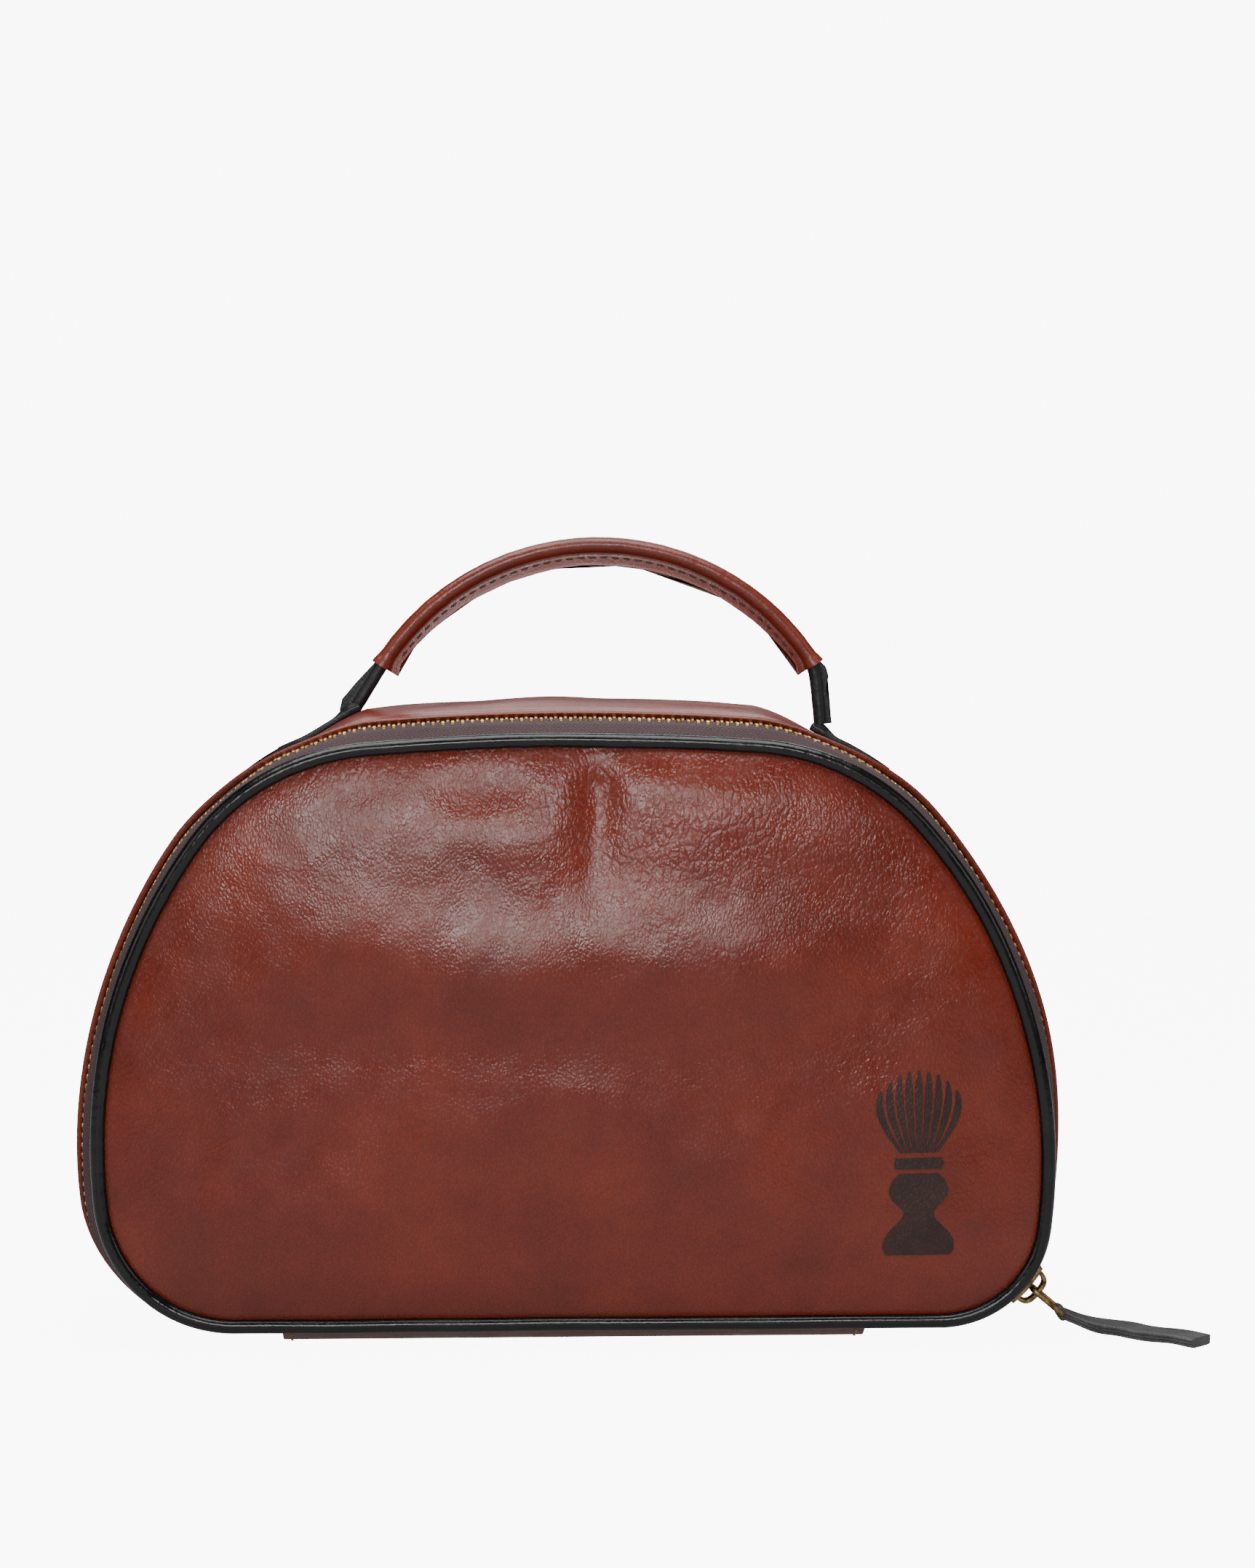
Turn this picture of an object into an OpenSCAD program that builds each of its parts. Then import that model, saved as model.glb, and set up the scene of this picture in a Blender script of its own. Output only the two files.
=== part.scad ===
// Shaving kit bag: a D-shaped leather wash bag with piped edges, a metal zip that runs
// round the dome, a rolled carrying handle and a leather zip pull.
// Origin at the centre of the flat underside. X to the right, Y to the back, Z up.

/* [Outline] */
// Width over the piping
bag_w = 256.8; // [240:1:280]
// Height of the piped outline
outline_h = 160; // [150:1:175]
// Height at which the outline is widest
widest_z = 43; // [42:1:55]
// Radius of the lower left corner
corner_r_left = 38; // [30:1:41]
// Radius of the lower right corner
corner_r_right = 30; // [28:1:41]
// Radius of the bulging sides
side_r = 142; // [135:1:160]
// Radius of the shoulders
shoulder_r = 65; // [55:1:75]
// Radius of the nearly flat top
top_r = 700; // [500:10:1000]

/* [Depth] */
// Distance between the two piping centres
piping_span = 76; // [60:1:100]
// How far the flat underside drops below the piping
base_drop = 4.5; // [4:0.1:7]
// Bulge of the gusset between the pipings
crown_h = 5; // [3:0.5:7]
// How far the gusset edges sit below the piping outline
crown_sink = 1.5; // [1:0.1:2]

/* [Leather and lining] */
// Thickness of the outer leather
leather_t = 1.6; // [1.2:0.1:2]
// Thickness of the lining cloth
lining_t = 0.6; // [0.4:0.1:1]
// Radius of the piping
piping_r = 2; // [1.5:0.1:2.5]
// Wall of the leather wrapped round the piping cord
piping_wall = 0.7; // [0.5:0.1:0.8]
// Half length of the bottom panel
bottom_half = 78; // [60:1:85]

/* [Zip] */
// Depth position of the plane where the two rows of teeth meet
chain_y = -24; // [-26:1:-20]
// Tooth spacing of one row
tooth_pitch = 2.6; // [2:0.1:3.5]
// Length of a tooth across the chain
tooth_l = 3.35; // [2:0.05:3.4]
// Thickness of a tooth along the chain
tooth_t = 1.3; // [0.8:0.1:1.6]
// Height of a tooth
tooth_h = 2.4; // [2:0.1:2.4]
// Thickness of the zip tape
tape_t = 0.6; // [0.4:0.1:0.7]
// Height angle at which the front row joins the opening cover
zip_split = -2; // [-6:1:4]
// Place of the slider on the lower right corner
slider_angle = -40; // [-46:1:-34]

/* [Handle] */
// Radius of the grip's arch
grip_r = 69.2; // [60:0.1:80]
// Half angle of the grip's arch
grip_half_angle = 58.4; // [50:0.1:65]
// Sideways lean of the grip
grip_x = 7.5; // [0:0.5:12]
// Height of the middle of the grip above the underside
grip_top = 212.4; // [200:0.1:225]
// Left foot of the strap
foot_left = -59.4; // [-70:0.1:-55]
// Right foot of the strap
foot_right = 67.7; // [55:0.1:72]
// Radius of the rolled strap
strap_r = 1.7; // [1.5:0.1:2]
// Radius of the grip sleeve
sleeve_r = 2.5; // [2.4:0.1:3]
// Depth of the stitched flange under the grip
flange_d = 4.4; // [3:0.1:6]

/* [Pull] */
// Radius of the loop wire
loop_wire_r = 0.7; // [0.6:0.05:0.8]
// Length of the loop between its two bars
loop_l = 11; // [9:0.5:13]
// Half width of the loop
loop_half_w = 4.4; // [4:0.1:5]
// Length of the leather pull
pull_l = 42; // [35:1:50]
// Width of the leather pull
pull_w = 9.5; // [8:0.5:11]
// Thickness of the leather pull
pull_t = 2.6; // [2:0.1:3]
// Angle at which the pull turns forward
pull_yaw = 26; // [15:1:32]
// Angle at which the pull slopes down to the table
pull_tilt = 5; // [3:0.5:6]

/* [Hidden] */
$fn = 48;
ROLL_SIDES = 12;

// Colours
CHESTNUT = "#8a4a34";
CHESTNUT_DARK = "#74392a";
BLACK_LEATHER = "#1d1b1c";
TAPE_BROWN = "#4a2b30";
LINING_TAN = "#b39a78";
CORD_WHITE = "#d8d2c4";
TOOTH_BRASS = "#b08a4a";
ANTIQUE_BRASS = "#6d5a34";
THREAD_TAN = "#b98a5c";

// Edges of the leather, cloth and tape bands across the depth
piping_y = piping_span / 2;
band_edge = piping_y - piping_r - 0.4;
gusset_front = chain_y + 6;
lining_front = chain_y + 15;
row_gap = 0.15;
parted_gap = 1.2;
chain_u = crown(chain_y) - 1.2;
split_gap = 0.6;
panel_inset = 2 * piping_r + 0.3;
lining_inset = panel_inset + 1.7;
lining_step = 0.4;
slack = 0.1;
joint_gap = 0.02;
zip_end_x = bottom_half + 0.4;

// Centres of the outline's arcs in the X-Z plane, each arc tangent to the next
half_w = bag_w / 2;
side_x = half_w - side_r;
top_z = outline_h - top_r;
shoulder_c = circle_meet([side_x, widest_z], side_r - shoulder_r, [0, top_z], top_r - shoulder_r);
side_end = atan2(shoulder_c[1] - widest_z, shoulder_c[0] - side_x);
shoulder_end = atan2(shoulder_c[1] - top_z, shoulder_c[0]);

// Each arc is [centre x, centre z, radius, start angle, end angle]
ARCS = concat(
    right_arcs(corner_r_right),
    [[0, base_drop + top_z, top_r, shoulder_end, 180 - shoulder_end]],
    [for (i = [2:-1:0]) mirrored(right_arcs(corner_r_left)[i])]
);

function corner_x(r) = side_x + sqrt(pow(side_r - r, 2) - pow(widest_z - r, 2));
function corner_end(r) = atan2(r - widest_z, corner_x(r) - side_x);
function right_arcs(r) = [
    [corner_x(r), base_drop + r, r, -90, corner_end(r)],
    [side_x, base_drop + widest_z, side_r, corner_end(r), side_end],
    [shoulder_c[0], base_drop + shoulder_c[1], shoulder_r, side_end, shoulder_end]
];
function mirrored(arc) = [-arc[0], arc[1], arc[2], 180 - arc[4], 180 - arc[3]];

// The right-hand point where a circle of radius p about a meets one of radius q about b
function circle_meet(a, p, b, q) =
    let (
        d = norm(b - a),
        along = (p * p - q * q + d * d) / (2 * d),
        across = sqrt(p * p - along * along),
        dir = (b - a) / d
    )
    a + along * dir + across * [-dir[1], dir[0]];

// Height of the gusset's outer face over the outline at depth y
function crown(y) = crown_h * (1 - pow(y / piping_y, 2)) - crown_sink;

// Sweeps a flat profile, drawn as [outward, -depth], round the arcs from angle lo to hi.
// Each arc is a length of its own, and a hairline joint parts it from the next.
module arc_sweep(lo = -90, hi = 270) {
    for (arc = ARCS) {
        trim = joint_gap / 2 / arc[2] * 180 / PI;
        a0 = max(arc[3], lo) + trim;
        a1 = min(arc[4], hi) - trim;
        if (a1 > a0)
            translate([arc[0], 0, arc[1]])
                rotate([90, 0, 0])
                    rotate([0, 0, a0])
                        rotate_extrude(angle = a1 - a0, $fn = 96)
                            translate([arc[2], 0])
                                children();
    }
}

// Sweeps the same profile along the straight bottom from x0 to x1
module bottom_sweep(x0, x1) {
    translate([x1 - joint_gap / 2, 0, base_drop])
        rotate([0, 90, 180])
            linear_extrude(x1 - x0 - joint_gap)
                children();
}

// Sweeps a profile all the way round
module full_sweep() {
    arc_sweep() children();
    bottom_sweep(-corner_x(corner_r_left), corner_x(corner_r_right)) children();
}

// Sweeps a profile round the dome and down to the ends of the bottom panel
module gusset_sweep() {
    arc_sweep() children();
    bottom_sweep(-corner_x(corner_r_left), -zip_end_x) children();
    bottom_sweep(zip_end_x, corner_x(corner_r_right)) children();
}

// A band that follows the gusset's bulge from depth y0 to y1, between two heights
module crown_band(y0, y1, low, high, steps = 6) {
    ys = [for (i = [0:steps]) y0 + (y1 - y0) * i / steps];
    polygon(concat(
        [for (i = [0:steps]) [crown(ys[i]) + low, -ys[i]]],
        [for (i = [steps:-1:0]) [crown(ys[i]) + high, -ys[i]]]
    ));
}

// A strip of one thickness along a line of [height, depth] points
module strip_profile(points, t) {
    last = len(points) - 1;
    polygon(concat(
        [for (i = [0:last]) [points[i][0] - t / 2, -points[i][1]]],
        [for (i = [last:-1:0]) [points[i][0] + t / 2, -points[i][1]]]
    ));
}

// The outline as a flat plate between two depths, drawn in by an inset
module outline_plate(y0, y1, inset) {
    step = 5;
    points = [
        for (arc = ARCS)
            let (n = ceil((arc[4] - arc[3]) / step), r = arc[2] - inset)
                for (i = [0:n])
                    let (a = arc[3] + (arc[4] - arc[3]) * i / n)
                        if (i < n || arc[4] >= 270)
                            [arc[0] + r * cos(a), arc[1] + r * sin(a)]
    ];
    translate([0, y1, 0])
        rotate([90, 0, 0])
            linear_extrude(y1 - y0)
                polygon(points);
}

// Puts copies along the arcs from angle lo to hi at one spacing, X pointing outwards
module along_arcs(lo, hi, spacing, u) {
    for (arc = ARCS) {
        a0 = max(arc[3], lo);
        a1 = min(arc[4], hi);
        r = arc[2] + u;
        n = floor(PI * r * (a1 - a0) / 180 / spacing);
        if (n > 0)
            for (i = [0:n - 1])
                translate([arc[0], 0, arc[1]])
                    rotate([0, -(a0 + (a1 - a0) * (i + 0.5) / n), 0])
                        translate([r, 0, 0])
                            children();
    }
}

// Puts copies along the straight ends of the zip, X pointing down
module along_zip_ends(spacing, u) {
    ends = [[zip_end_x + 2.4, corner_x(corner_r_right)], [-corner_x(corner_r_left), -zip_end_x - 2.4]];
    for (span = ends) {
        n = floor((span[1] - span[0]) / spacing);
        for (i = [0:n - 1])
            translate([span[0] + (span[1] - span[0]) * (i + 0.5) / n, 0, base_drop - u])
                rotate([0, 90, 0])
                    children();
    }
}

// One zip tooth, side 1 behind the chain and -1 in front of it
module tooth(side, gap) {
    y0 = chain_y + side * gap;
    y1 = chain_y + side * (row_gap + tooth_l);
    translate([-tooth_h / 2, min(y0, y1), -tooth_t / 2])
        cube([tooth_h, abs(y1 - y0), tooth_t]);
}

// Body: back

module back_panel() {
    color(CHESTNUT)
        outline_plate(piping_y - leather_t / 2, piping_y + leather_t / 2, panel_inset);
}

module piping_cover(y) {
    color(BLACK_LEATHER)
        full_sweep()
            translate([-piping_r, -y])
                difference() {
                    circle(piping_r, $fn = ROLL_SIDES);
                    circle(piping_r - piping_wall, $fn = ROLL_SIDES);
                }
}

module piping_cord(y) {
    color(CORD_WHITE)
        full_sweep()
            translate([-piping_r, -y])
                circle(piping_r - piping_wall - slack, $fn = ROLL_SIDES);
}

module lining_plate(y) {
    color(LINING_TAN)
        outline_plate(y - lining_t / 2, y + lining_t / 2, lining_inset);
}

// Cloth binding folded over the raw edges of the seam inside the piping
module seam_binding(side) {
    inner = piping_y - leather_t / 2 - lining_step - lining_t - slack;
    depth = 1.4;
    height = 4;
    color(TAPE_BROWN)
        full_sweep()
            translate([-panel_inset - height - 0.3, side > 0 ? -inner : inner - depth])
                square([height, depth]);
}

module back_piping_cover() {
    piping_cover(piping_y);
}

module back_piping_cord() {
    piping_cord(piping_y);
}

module back_lining() {
    lining_plate(piping_y - leather_t / 2 - lining_step - lining_t / 2);
}

module back_seam_binding() {
    seam_binding(1);
}

// Body: gusset and bottom

module gusset_leather() {
    color(CHESTNUT)
        gusset_sweep()
            crown_band(gusset_front, band_edge, -leather_t, 0);
}

module gusset_lining() {
    lift = -leather_t - lining_step;
    color(LINING_TAN)
        gusset_sweep()
            crown_band(lining_front, band_edge - 2, lift - lining_t, lift);
}

// Flat underside that slopes up to both pipings
module bottom_panel() {
    flat_y = 24;
    edge_u = crown(band_edge);
    color(CHESTNUT_DARK)
        bottom_sweep(-bottom_half, bottom_half)
            polygon([
                [base_drop, -flat_y], [base_drop, flat_y], [edge_u, band_edge],
                [edge_u - leather_t, band_edge], [base_drop - leather_t, flat_y - 1],
                [base_drop - leather_t, 1 - flat_y], [edge_u - leather_t, -band_edge],
                [edge_u, -band_edge]
            ]);
}

// Stitches across both sloping edges of the bottom panel, close to its ends
module bottom_panel_stitches() {
    from_end = 2.4;
    count = 3;
    slope = atan2(base_drop - crown(band_edge), band_edge - 24);
    color(THREAD_TAN)
        for (x = [-1, 1], side = [-1, 1], i = [0:count - 1])
            translate([x * (bottom_half - from_end), side * band_edge, base_drop - crown(band_edge)])
                rotate([side * slope, 0, 0])
                    translate([-0.4, -side * (2.4 + 3.2 * i) - 1.1, -0.4])
                        cube([0.8, 2.2, 0.35]);
}

// Body: rear half of the zip and the fixed ends of its front half

module rear_zip_tape() {
    flat_edge = chain_y + 5.6;
    hidden_edge = chain_y + 14;
    color(TAPE_BROWN)
        gusset_sweep()
            strip_profile([
                [chain_u, chain_y + row_gap + tooth_l + 0.05],
                [chain_u, flat_edge],
                [chain_u + 0.6, hidden_edge]
            ], tape_t);
}

module front_tape_profile() {
    strip_profile([
        [-1.4, -band_edge],
        [chain_u, chain_y - 6],
        [chain_u, chain_y - row_gap - tooth_l - 0.05]
    ], tape_t);
}

module rear_zip_teeth() {
    color(TOOTH_BRASS) {
        along_arcs(zip_split, 270, tooth_pitch, chain_u) tooth(1, row_gap);
        along_arcs(-90, zip_split, tooth_pitch, chain_u) tooth(1, parted_gap);
        along_zip_ends(tooth_pitch, chain_u) tooth(1, parted_gap);
    }
}

module zip_end_tapes() {
    color(TAPE_BROWN) {
        arc_sweep(-90, zip_split - split_gap) front_tape_profile();
        bottom_sweep(zip_end_x, corner_x(corner_r_right)) front_tape_profile();
        arc_sweep(180 - zip_split + split_gap, 270) front_tape_profile();
        bottom_sweep(-corner_x(corner_r_left), -zip_end_x) front_tape_profile();
    }
}

module zip_end_teeth() {
    color(TOOTH_BRASS) {
        along_arcs(-90, zip_split - split_gap, tooth_pitch, chain_u) tooth(-1, parted_gap);
        along_arcs(180 - zip_split + split_gap, 270, tooth_pitch, chain_u) tooth(-1, row_gap);
        along_zip_ends(tooth_pitch, chain_u) tooth(-1, parted_gap);
    }
}

// Folded metal stops beside the ends of the bottom panel, one on each row
module zip_stops() {
    stop_l = 2;
    color(TOOTH_BRASS)
        for (x = [-1, 1], side = [-1, 1])
            translate([
                x * (zip_end_x + stop_l / 2 + 0.1),
                chain_y + side * (parted_gap + row_gap + tooth_l) / 2,
                base_drop - chain_u
            ])
                cube([stop_l, 2, tooth_h], center = true);
}

// Body: leather tabs that hold the feet of the handle

function shoulder_angle(x) = acos((abs(x) - shoulder_c[0]) / (shoulder_r + crown(0)));
tab_t = 1.4;
tab_half_angle = 6;
tab_half_y = 10;

module handle_tab(angle) {
    color(BLACK_LEATHER)
        arc_sweep(angle - tab_half_angle, angle + tab_half_angle)
            crown_band(-tab_half_y, tab_half_y, slack, slack + tab_t, 4);
}

module handle_tab_left() {
    handle_tab(180 - shoulder_angle(foot_left));
}

module handle_tab_right() {
    handle_tab(shoulder_angle(foot_right));
}

// Opening cover

module front_panel() {
    color(CHESTNUT)
        outline_plate(-piping_y - leather_t / 2, -piping_y + leather_t / 2, panel_inset);
}

module front_piping_cover() {
    piping_cover(-piping_y);
}

module front_piping_cord() {
    piping_cord(-piping_y);
}

module front_lining() {
    lining_plate(-piping_y + leather_t / 2 + lining_step + lining_t / 2);
}

module front_seam_binding() {
    seam_binding(-1);
}

module front_zip_tape() {
    color(TAPE_BROWN)
        arc_sweep(zip_split, 180 - zip_split) front_tape_profile();
}

module front_zip_teeth() {
    color(TOOTH_BRASS)
        along_arcs(zip_split, 180 - zip_split, tooth_pitch, chain_u) tooth(-1, row_gap);
}

// Handle, in the plane y = 0

grip_z = grip_top - grip_r;
strap_wall = 0.5;
knuckle_r = strap_r + 0.15;
foot_clear = tab_t + slack + 0.4 + knuckle_r;
function foot_point(x) =
    let (c = shoulder_c, r = shoulder_r + crown(0))
        [x, 0, base_drop + c[1] + sqrt(r * r - pow(abs(x) - c[0], 2)) + foot_clear];
function grip_end(side) =
    [grip_x + side * grip_r * sin(grip_half_angle), 0, grip_z + grip_r * cos(grip_half_angle)];

// Sweeps a profile along the grip's arch, drawn as [outward, depth]
module grip_sweep(half_angle) {
    translate([grip_x, 0, grip_z])
        rotate([90, 0, 0])
            rotate([0, 0, 90 - half_angle])
                rotate_extrude(angle = 2 * half_angle, $fn = 96)
                    translate([grip_r, 0])
                        children();
}

// A rod between two points
module rod(a, b, r) {
    d = b - a;
    translate(a)
        rotate([0, acos(d[2] / norm(d)), atan2(d[1], d[0])])
            cylinder(r = r, h = norm(d));
}

// Rolled strap: an arch inside the grip and a straight leg down to each tab
module handle_strap() {
    color(BLACK_LEATHER) {
        grip_sweep(grip_half_angle)
            difference() {
                circle(strap_r, $fn = ROLL_SIDES);
                circle(strap_r - strap_wall, $fn = ROLL_SIDES);
            }
        for (side = [-1, 1]) {
            foot = foot_point(side < 0 ? foot_left : foot_right);
            rod(grip_end(side), foot, strap_r);
            translate(grip_end(side)) sphere(knuckle_r);
            translate(foot) sphere(knuckle_r);
        }
    }
}

// Rope inside the rolled strap
module handle_core() {
    color(CORD_WHITE)
        grip_sweep(grip_half_angle - 3.2) circle(strap_r - strap_wall - slack, $fn = ROLL_SIDES);
}

// Leather rolled round the strap and sewn together in a flange underneath
module grip_sleeve() {
    flange_t = 1.6;
    color(CHESTNUT)
        grip_sweep(grip_half_angle - 0.5)
            difference() {
                union() {
                    circle(sleeve_r);
                    translate([-sleeve_r - flange_d, -flange_t / 2])
                        square([flange_d + 1, flange_t]);
                }
                circle(strap_r + slack);
            }
}

module grip_stitches() {
    stitch_l = 2.2;
    spacing = 3.2;
    inset = sleeve_r + flange_d - 1.6;
    r = grip_r - inset;
    span = 2 * (grip_half_angle - 4);
    n = floor(PI * r * span / 180 / spacing);
    color(THREAD_TAN)
        for (i = [0:n - 1], side = [-1, 1])
            translate([grip_x, 0, grip_z])
                rotate([0, span / 2 - 90 - span * (i + 0.5) / n, 0])
                    translate([r, side * 1, 0])
                        cube([0.5, 0.36, stitch_l], center = true);
}

// Slider, curved like the corner that it runs on

slider_half_angle = 11;
plate_in = 1.5;
plate_out = 2.5;
corner_c = [corner_x(corner_r_right), base_drop + corner_r_right];
crown_base = chain_u + plate_out + 0.05;
pivot_u = crown_base + 1.1;
pivot_r = corner_r_right + pivot_u;
pivot = [corner_c[0] + pivot_r * cos(slider_angle), chain_y, corner_c[1] + pivot_r * sin(slider_angle)];
far_bar = pivot + loop_l * [cos(slider_angle), 0, sin(slider_angle)];

// Sweeps a profile about the corner, centred on the slider
module slider_sweep(half_angle, offset_angle = 0) {
    translate([corner_c[0], chain_y, corner_c[1]])
        rotate([90, 0, 0])
            rotate([0, 0, slider_angle + offset_angle - half_angle])
                rotate_extrude(angle = 2 * half_angle, $fn = 96)
                    translate([corner_r_right + chain_u, 0])
                        children();
}

module slider_body() {
    half_w = 5.2;
    lip = 0.9;
    tape_room = 0.6;
    color(ANTIQUE_BRASS) {
        slider_sweep(slider_half_angle)
            for (side = [-1, 1]) {
                translate([side > 0 ? plate_in : -plate_out, -half_w])
                    square([plate_out - plate_in, 2 * half_w]);
                for (edge = [-half_w, half_w - lip])
                    translate([side > 0 ? tape_room : -plate_in, edge])
                        square([plate_in - tape_room, lip]);
            }
        slider_sweep(3.5, 5)
            translate([-plate_in - 0.2, -0.7])
                square([2 * plate_in + 0.4, 1.4]);
    }
}

// Bridge on top of the slider, with a slot for the loop
module slider_crown() {
    crown_half_w = 1.6;
    crown_top = crown_base - chain_u + 3.6;
    slot_h = 2.3;
    color(ANTIQUE_BRASS)
        difference() {
            slider_sweep(7)
                translate([crown_base - chain_u, -crown_half_w])
                    square([crown_top - crown_base + chain_u, 2 * crown_half_w]);
            slider_sweep(4)
                translate([crown_base - chain_u - 0.5, -crown_half_w - 1])
                    square([slot_h + 0.5, 2 * crown_half_w + 2]);
        }
}

module pull_loop() {
    near = [[0, -loop_half_w, 0], [0, loop_half_w, 0]];
    reach = far_bar - pivot;
    color(ANTIQUE_BRASS) {
        rod(pivot + near[0], pivot + near[1], loop_wire_r);
        rod(far_bar + near[0], far_bar + near[1], loop_wire_r);
        for (end = near) {
            rod(pivot + end, pivot + reach + end, loop_wire_r);
            translate(pivot + end) sphere(loop_wire_r);
            translate(far_bar + end) sphere(loop_wire_r);
        }
    }
}

// Folded leather strip that wraps round the far bar of the loop
module pull_tab() {
    eye_r = loop_wire_r + 0.25 + pull_t / 2;
    eye_half = loop_half_w - loop_wire_r - 0.4;
    color(BLACK_LEATHER)
        translate(far_bar)
            difference() {
                union() {
                    translate([0, eye_half - 0.3, 0])
                        rotate([90, 0, 0])
                            cylinder(r = eye_r, h = 2 * eye_half - 0.6);
                    rotate([0, pull_tilt, 0])
                        translate([0, 0, -pull_t / 2])
                            linear_extrude(pull_t)
                                polygon([
                                    [0, eye_half], [0, -eye_half], [4, -pull_w / 2],
                                    pull_corner(0, -1), pull_corner(1, -1),
                                    pull_corner(1, 1), pull_corner(0, 1), [4, pull_w / 2 - 1]
                                ]);
                }
                translate([0, 6, 0])
                    rotate([90, 0, 0])
                        cylinder(r = loop_wire_r + 0.25, h = 12);
            }
}

// Corners of the turned stretch of the pull: at its start (end 0) or its tip (end 1)
function pull_corner(end, side) =
    let (
        start = [7, 0],
        along = [cos(pull_yaw), -sin(pull_yaw)],
        across = [sin(pull_yaw), cos(pull_yaw)]
    )
    start + along * end * (pull_l - 8) + across * side * pull_w / 2;

back_panel();
back_piping_cover();
back_piping_cord();
back_lining();
back_seam_binding();
gusset_leather();
gusset_lining();
rear_zip_tape();
rear_zip_teeth();
zip_end_tapes();
zip_end_teeth();
zip_stops();
bottom_panel();
bottom_panel_stitches();
handle_tab_left();
handle_tab_right();
front_panel();
front_piping_cover();
front_piping_cord();
front_lining();
front_seam_binding();
front_zip_tape();
front_zip_teeth();
handle_strap();
handle_core();
grip_sleeve();
grip_stitches();
slider_body();
slider_crown();
pull_loop();
pull_tab();
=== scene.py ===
import math

import bpy
import numpy as np
from mathutils import Matrix, Vector, noise


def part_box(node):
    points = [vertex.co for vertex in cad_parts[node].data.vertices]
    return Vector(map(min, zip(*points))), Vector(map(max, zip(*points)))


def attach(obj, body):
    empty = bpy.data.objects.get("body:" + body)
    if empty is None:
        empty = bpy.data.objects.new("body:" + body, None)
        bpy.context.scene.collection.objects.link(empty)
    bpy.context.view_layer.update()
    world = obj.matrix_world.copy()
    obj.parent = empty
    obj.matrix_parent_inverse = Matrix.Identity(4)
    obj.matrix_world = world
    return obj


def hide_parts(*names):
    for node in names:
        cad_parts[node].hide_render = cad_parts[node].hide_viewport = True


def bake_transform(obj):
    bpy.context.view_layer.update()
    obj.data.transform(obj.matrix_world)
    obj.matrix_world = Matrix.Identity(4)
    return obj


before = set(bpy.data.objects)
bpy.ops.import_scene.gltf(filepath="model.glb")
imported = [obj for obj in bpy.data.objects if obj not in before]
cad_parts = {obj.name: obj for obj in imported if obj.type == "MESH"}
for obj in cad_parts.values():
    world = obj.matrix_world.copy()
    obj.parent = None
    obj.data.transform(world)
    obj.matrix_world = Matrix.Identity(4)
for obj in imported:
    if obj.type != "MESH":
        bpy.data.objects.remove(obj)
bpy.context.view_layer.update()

MM = 0.001


# ---------------------------------------------------------------------------------------
# Table, light and camera. The bag stands on a plain pale table under soft studio light.
# ---------------------------------------------------------------------------------------

def linear(hex_colour):
    """An sRGB hex colour as the linear RGBA that the shaders take."""
    parts = [int(hex_colour[i:i + 2], 16) / 255 for i in (1, 3, 5)]
    return (*[c / 12.92 if c <= 0.04045 else ((c + 0.055) / 1.055) ** 2.4 for c in parts], 1.0)


def node(tree, kind, inputs=None, **settings):
    """Adds a shader node with its settings, and its inputs as values or links."""
    made = tree.nodes.new(kind)
    for key, value in settings.items():
        setattr(made, key, value)
    for key, value in (inputs or {}).items():
        if isinstance(value, bpy.types.NodeSocket):
            tree.links.new(value, made.inputs[key])
        else:
            made.inputs[key].default_value = value
    return made


def finish_material(name):
    """A new material, its tree and its Principled shader."""
    material = bpy.data.materials.new(name)
    material.use_nodes = True
    return material, material.node_tree, material.node_tree.nodes["Principled BSDF"]


def deselect_all():
    if bpy.context.object and bpy.context.object.mode != "OBJECT":
        bpy.ops.object.mode_set(mode="OBJECT")
    bpy.ops.object.select_all(action="DESELECT")


def only(piece):
    """Selects one piece and makes it the active one."""
    deselect_all()
    piece.select_set(True)
    bpy.context.view_layer.objects.active = piece


TABLE_COLOUR = "#a3a1a0"
TABLE_RADIUS = 6
TABLE_DROP = 0.0002
LAMPS = (
    # name, place, width, height, watts
    ("softbox_above", (-0.05, -0.15, 1.05), 1.1, 0.7, 18),
    ("softbox_front", (-0.10, -1.42, 0.56), 0.90, 0.26, 13),
    ("softbox_left", (-1.10, -0.60, 0.55), 0.5, 0.7, 2.5),
    ("softbox_right", (1.15, -0.45, 0.60), 0.5, 0.7, 2.5),
    ("softbox_back", (0.10, 0.90, 0.95), 0.9, 0.5, 5),
)
LAMP_TARGET = Vector((0, 0, 0.09))
ROOM_LIGHT = 0.05
SEEN_LIGHT = 9.2
TABLE_GLOW = 9.0
TABLE_BOUNCE = 0.2
CAMERA_PLACE = Vector((-35, -1238, 260)) * MM
CAMERA_YAW = math.radians(2.336)
CAMERA_PITCH = math.radians(5.193)
CAMERA_LENS = 104.98
SENSOR_W = 36

deselect_all()
bpy.ops.mesh.primitive_circle_add(vertices=96, radius=TABLE_RADIUS, fill_type="NGON",
    location=(0, 0, -TABLE_DROP))
table = bpy.context.object
table.name = "table"
table_paint, tree, shader = finish_material("matt_white_table")
shader.inputs["Base Color"].default_value = linear(TABLE_COLOUR)
shader.inputs["Roughness"].default_value = 0.85
shader.inputs["Emission Color"].default_value = linear("#ffffff")
# Light Path tells rays from the camera apart: it sees the table bright, and the bag gets little light from it
glow = node(tree, "ShaderNodeMapRange", {
    "Value": node(tree, "ShaderNodeLightPath").outputs["Is Camera Ray"],
    "To Min": TABLE_BOUNCE, "To Max": TABLE_GLOW})
tree.links.new(glow.outputs[0], shader.inputs["Emission Strength"])
table.data.materials.append(table_paint)

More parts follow.
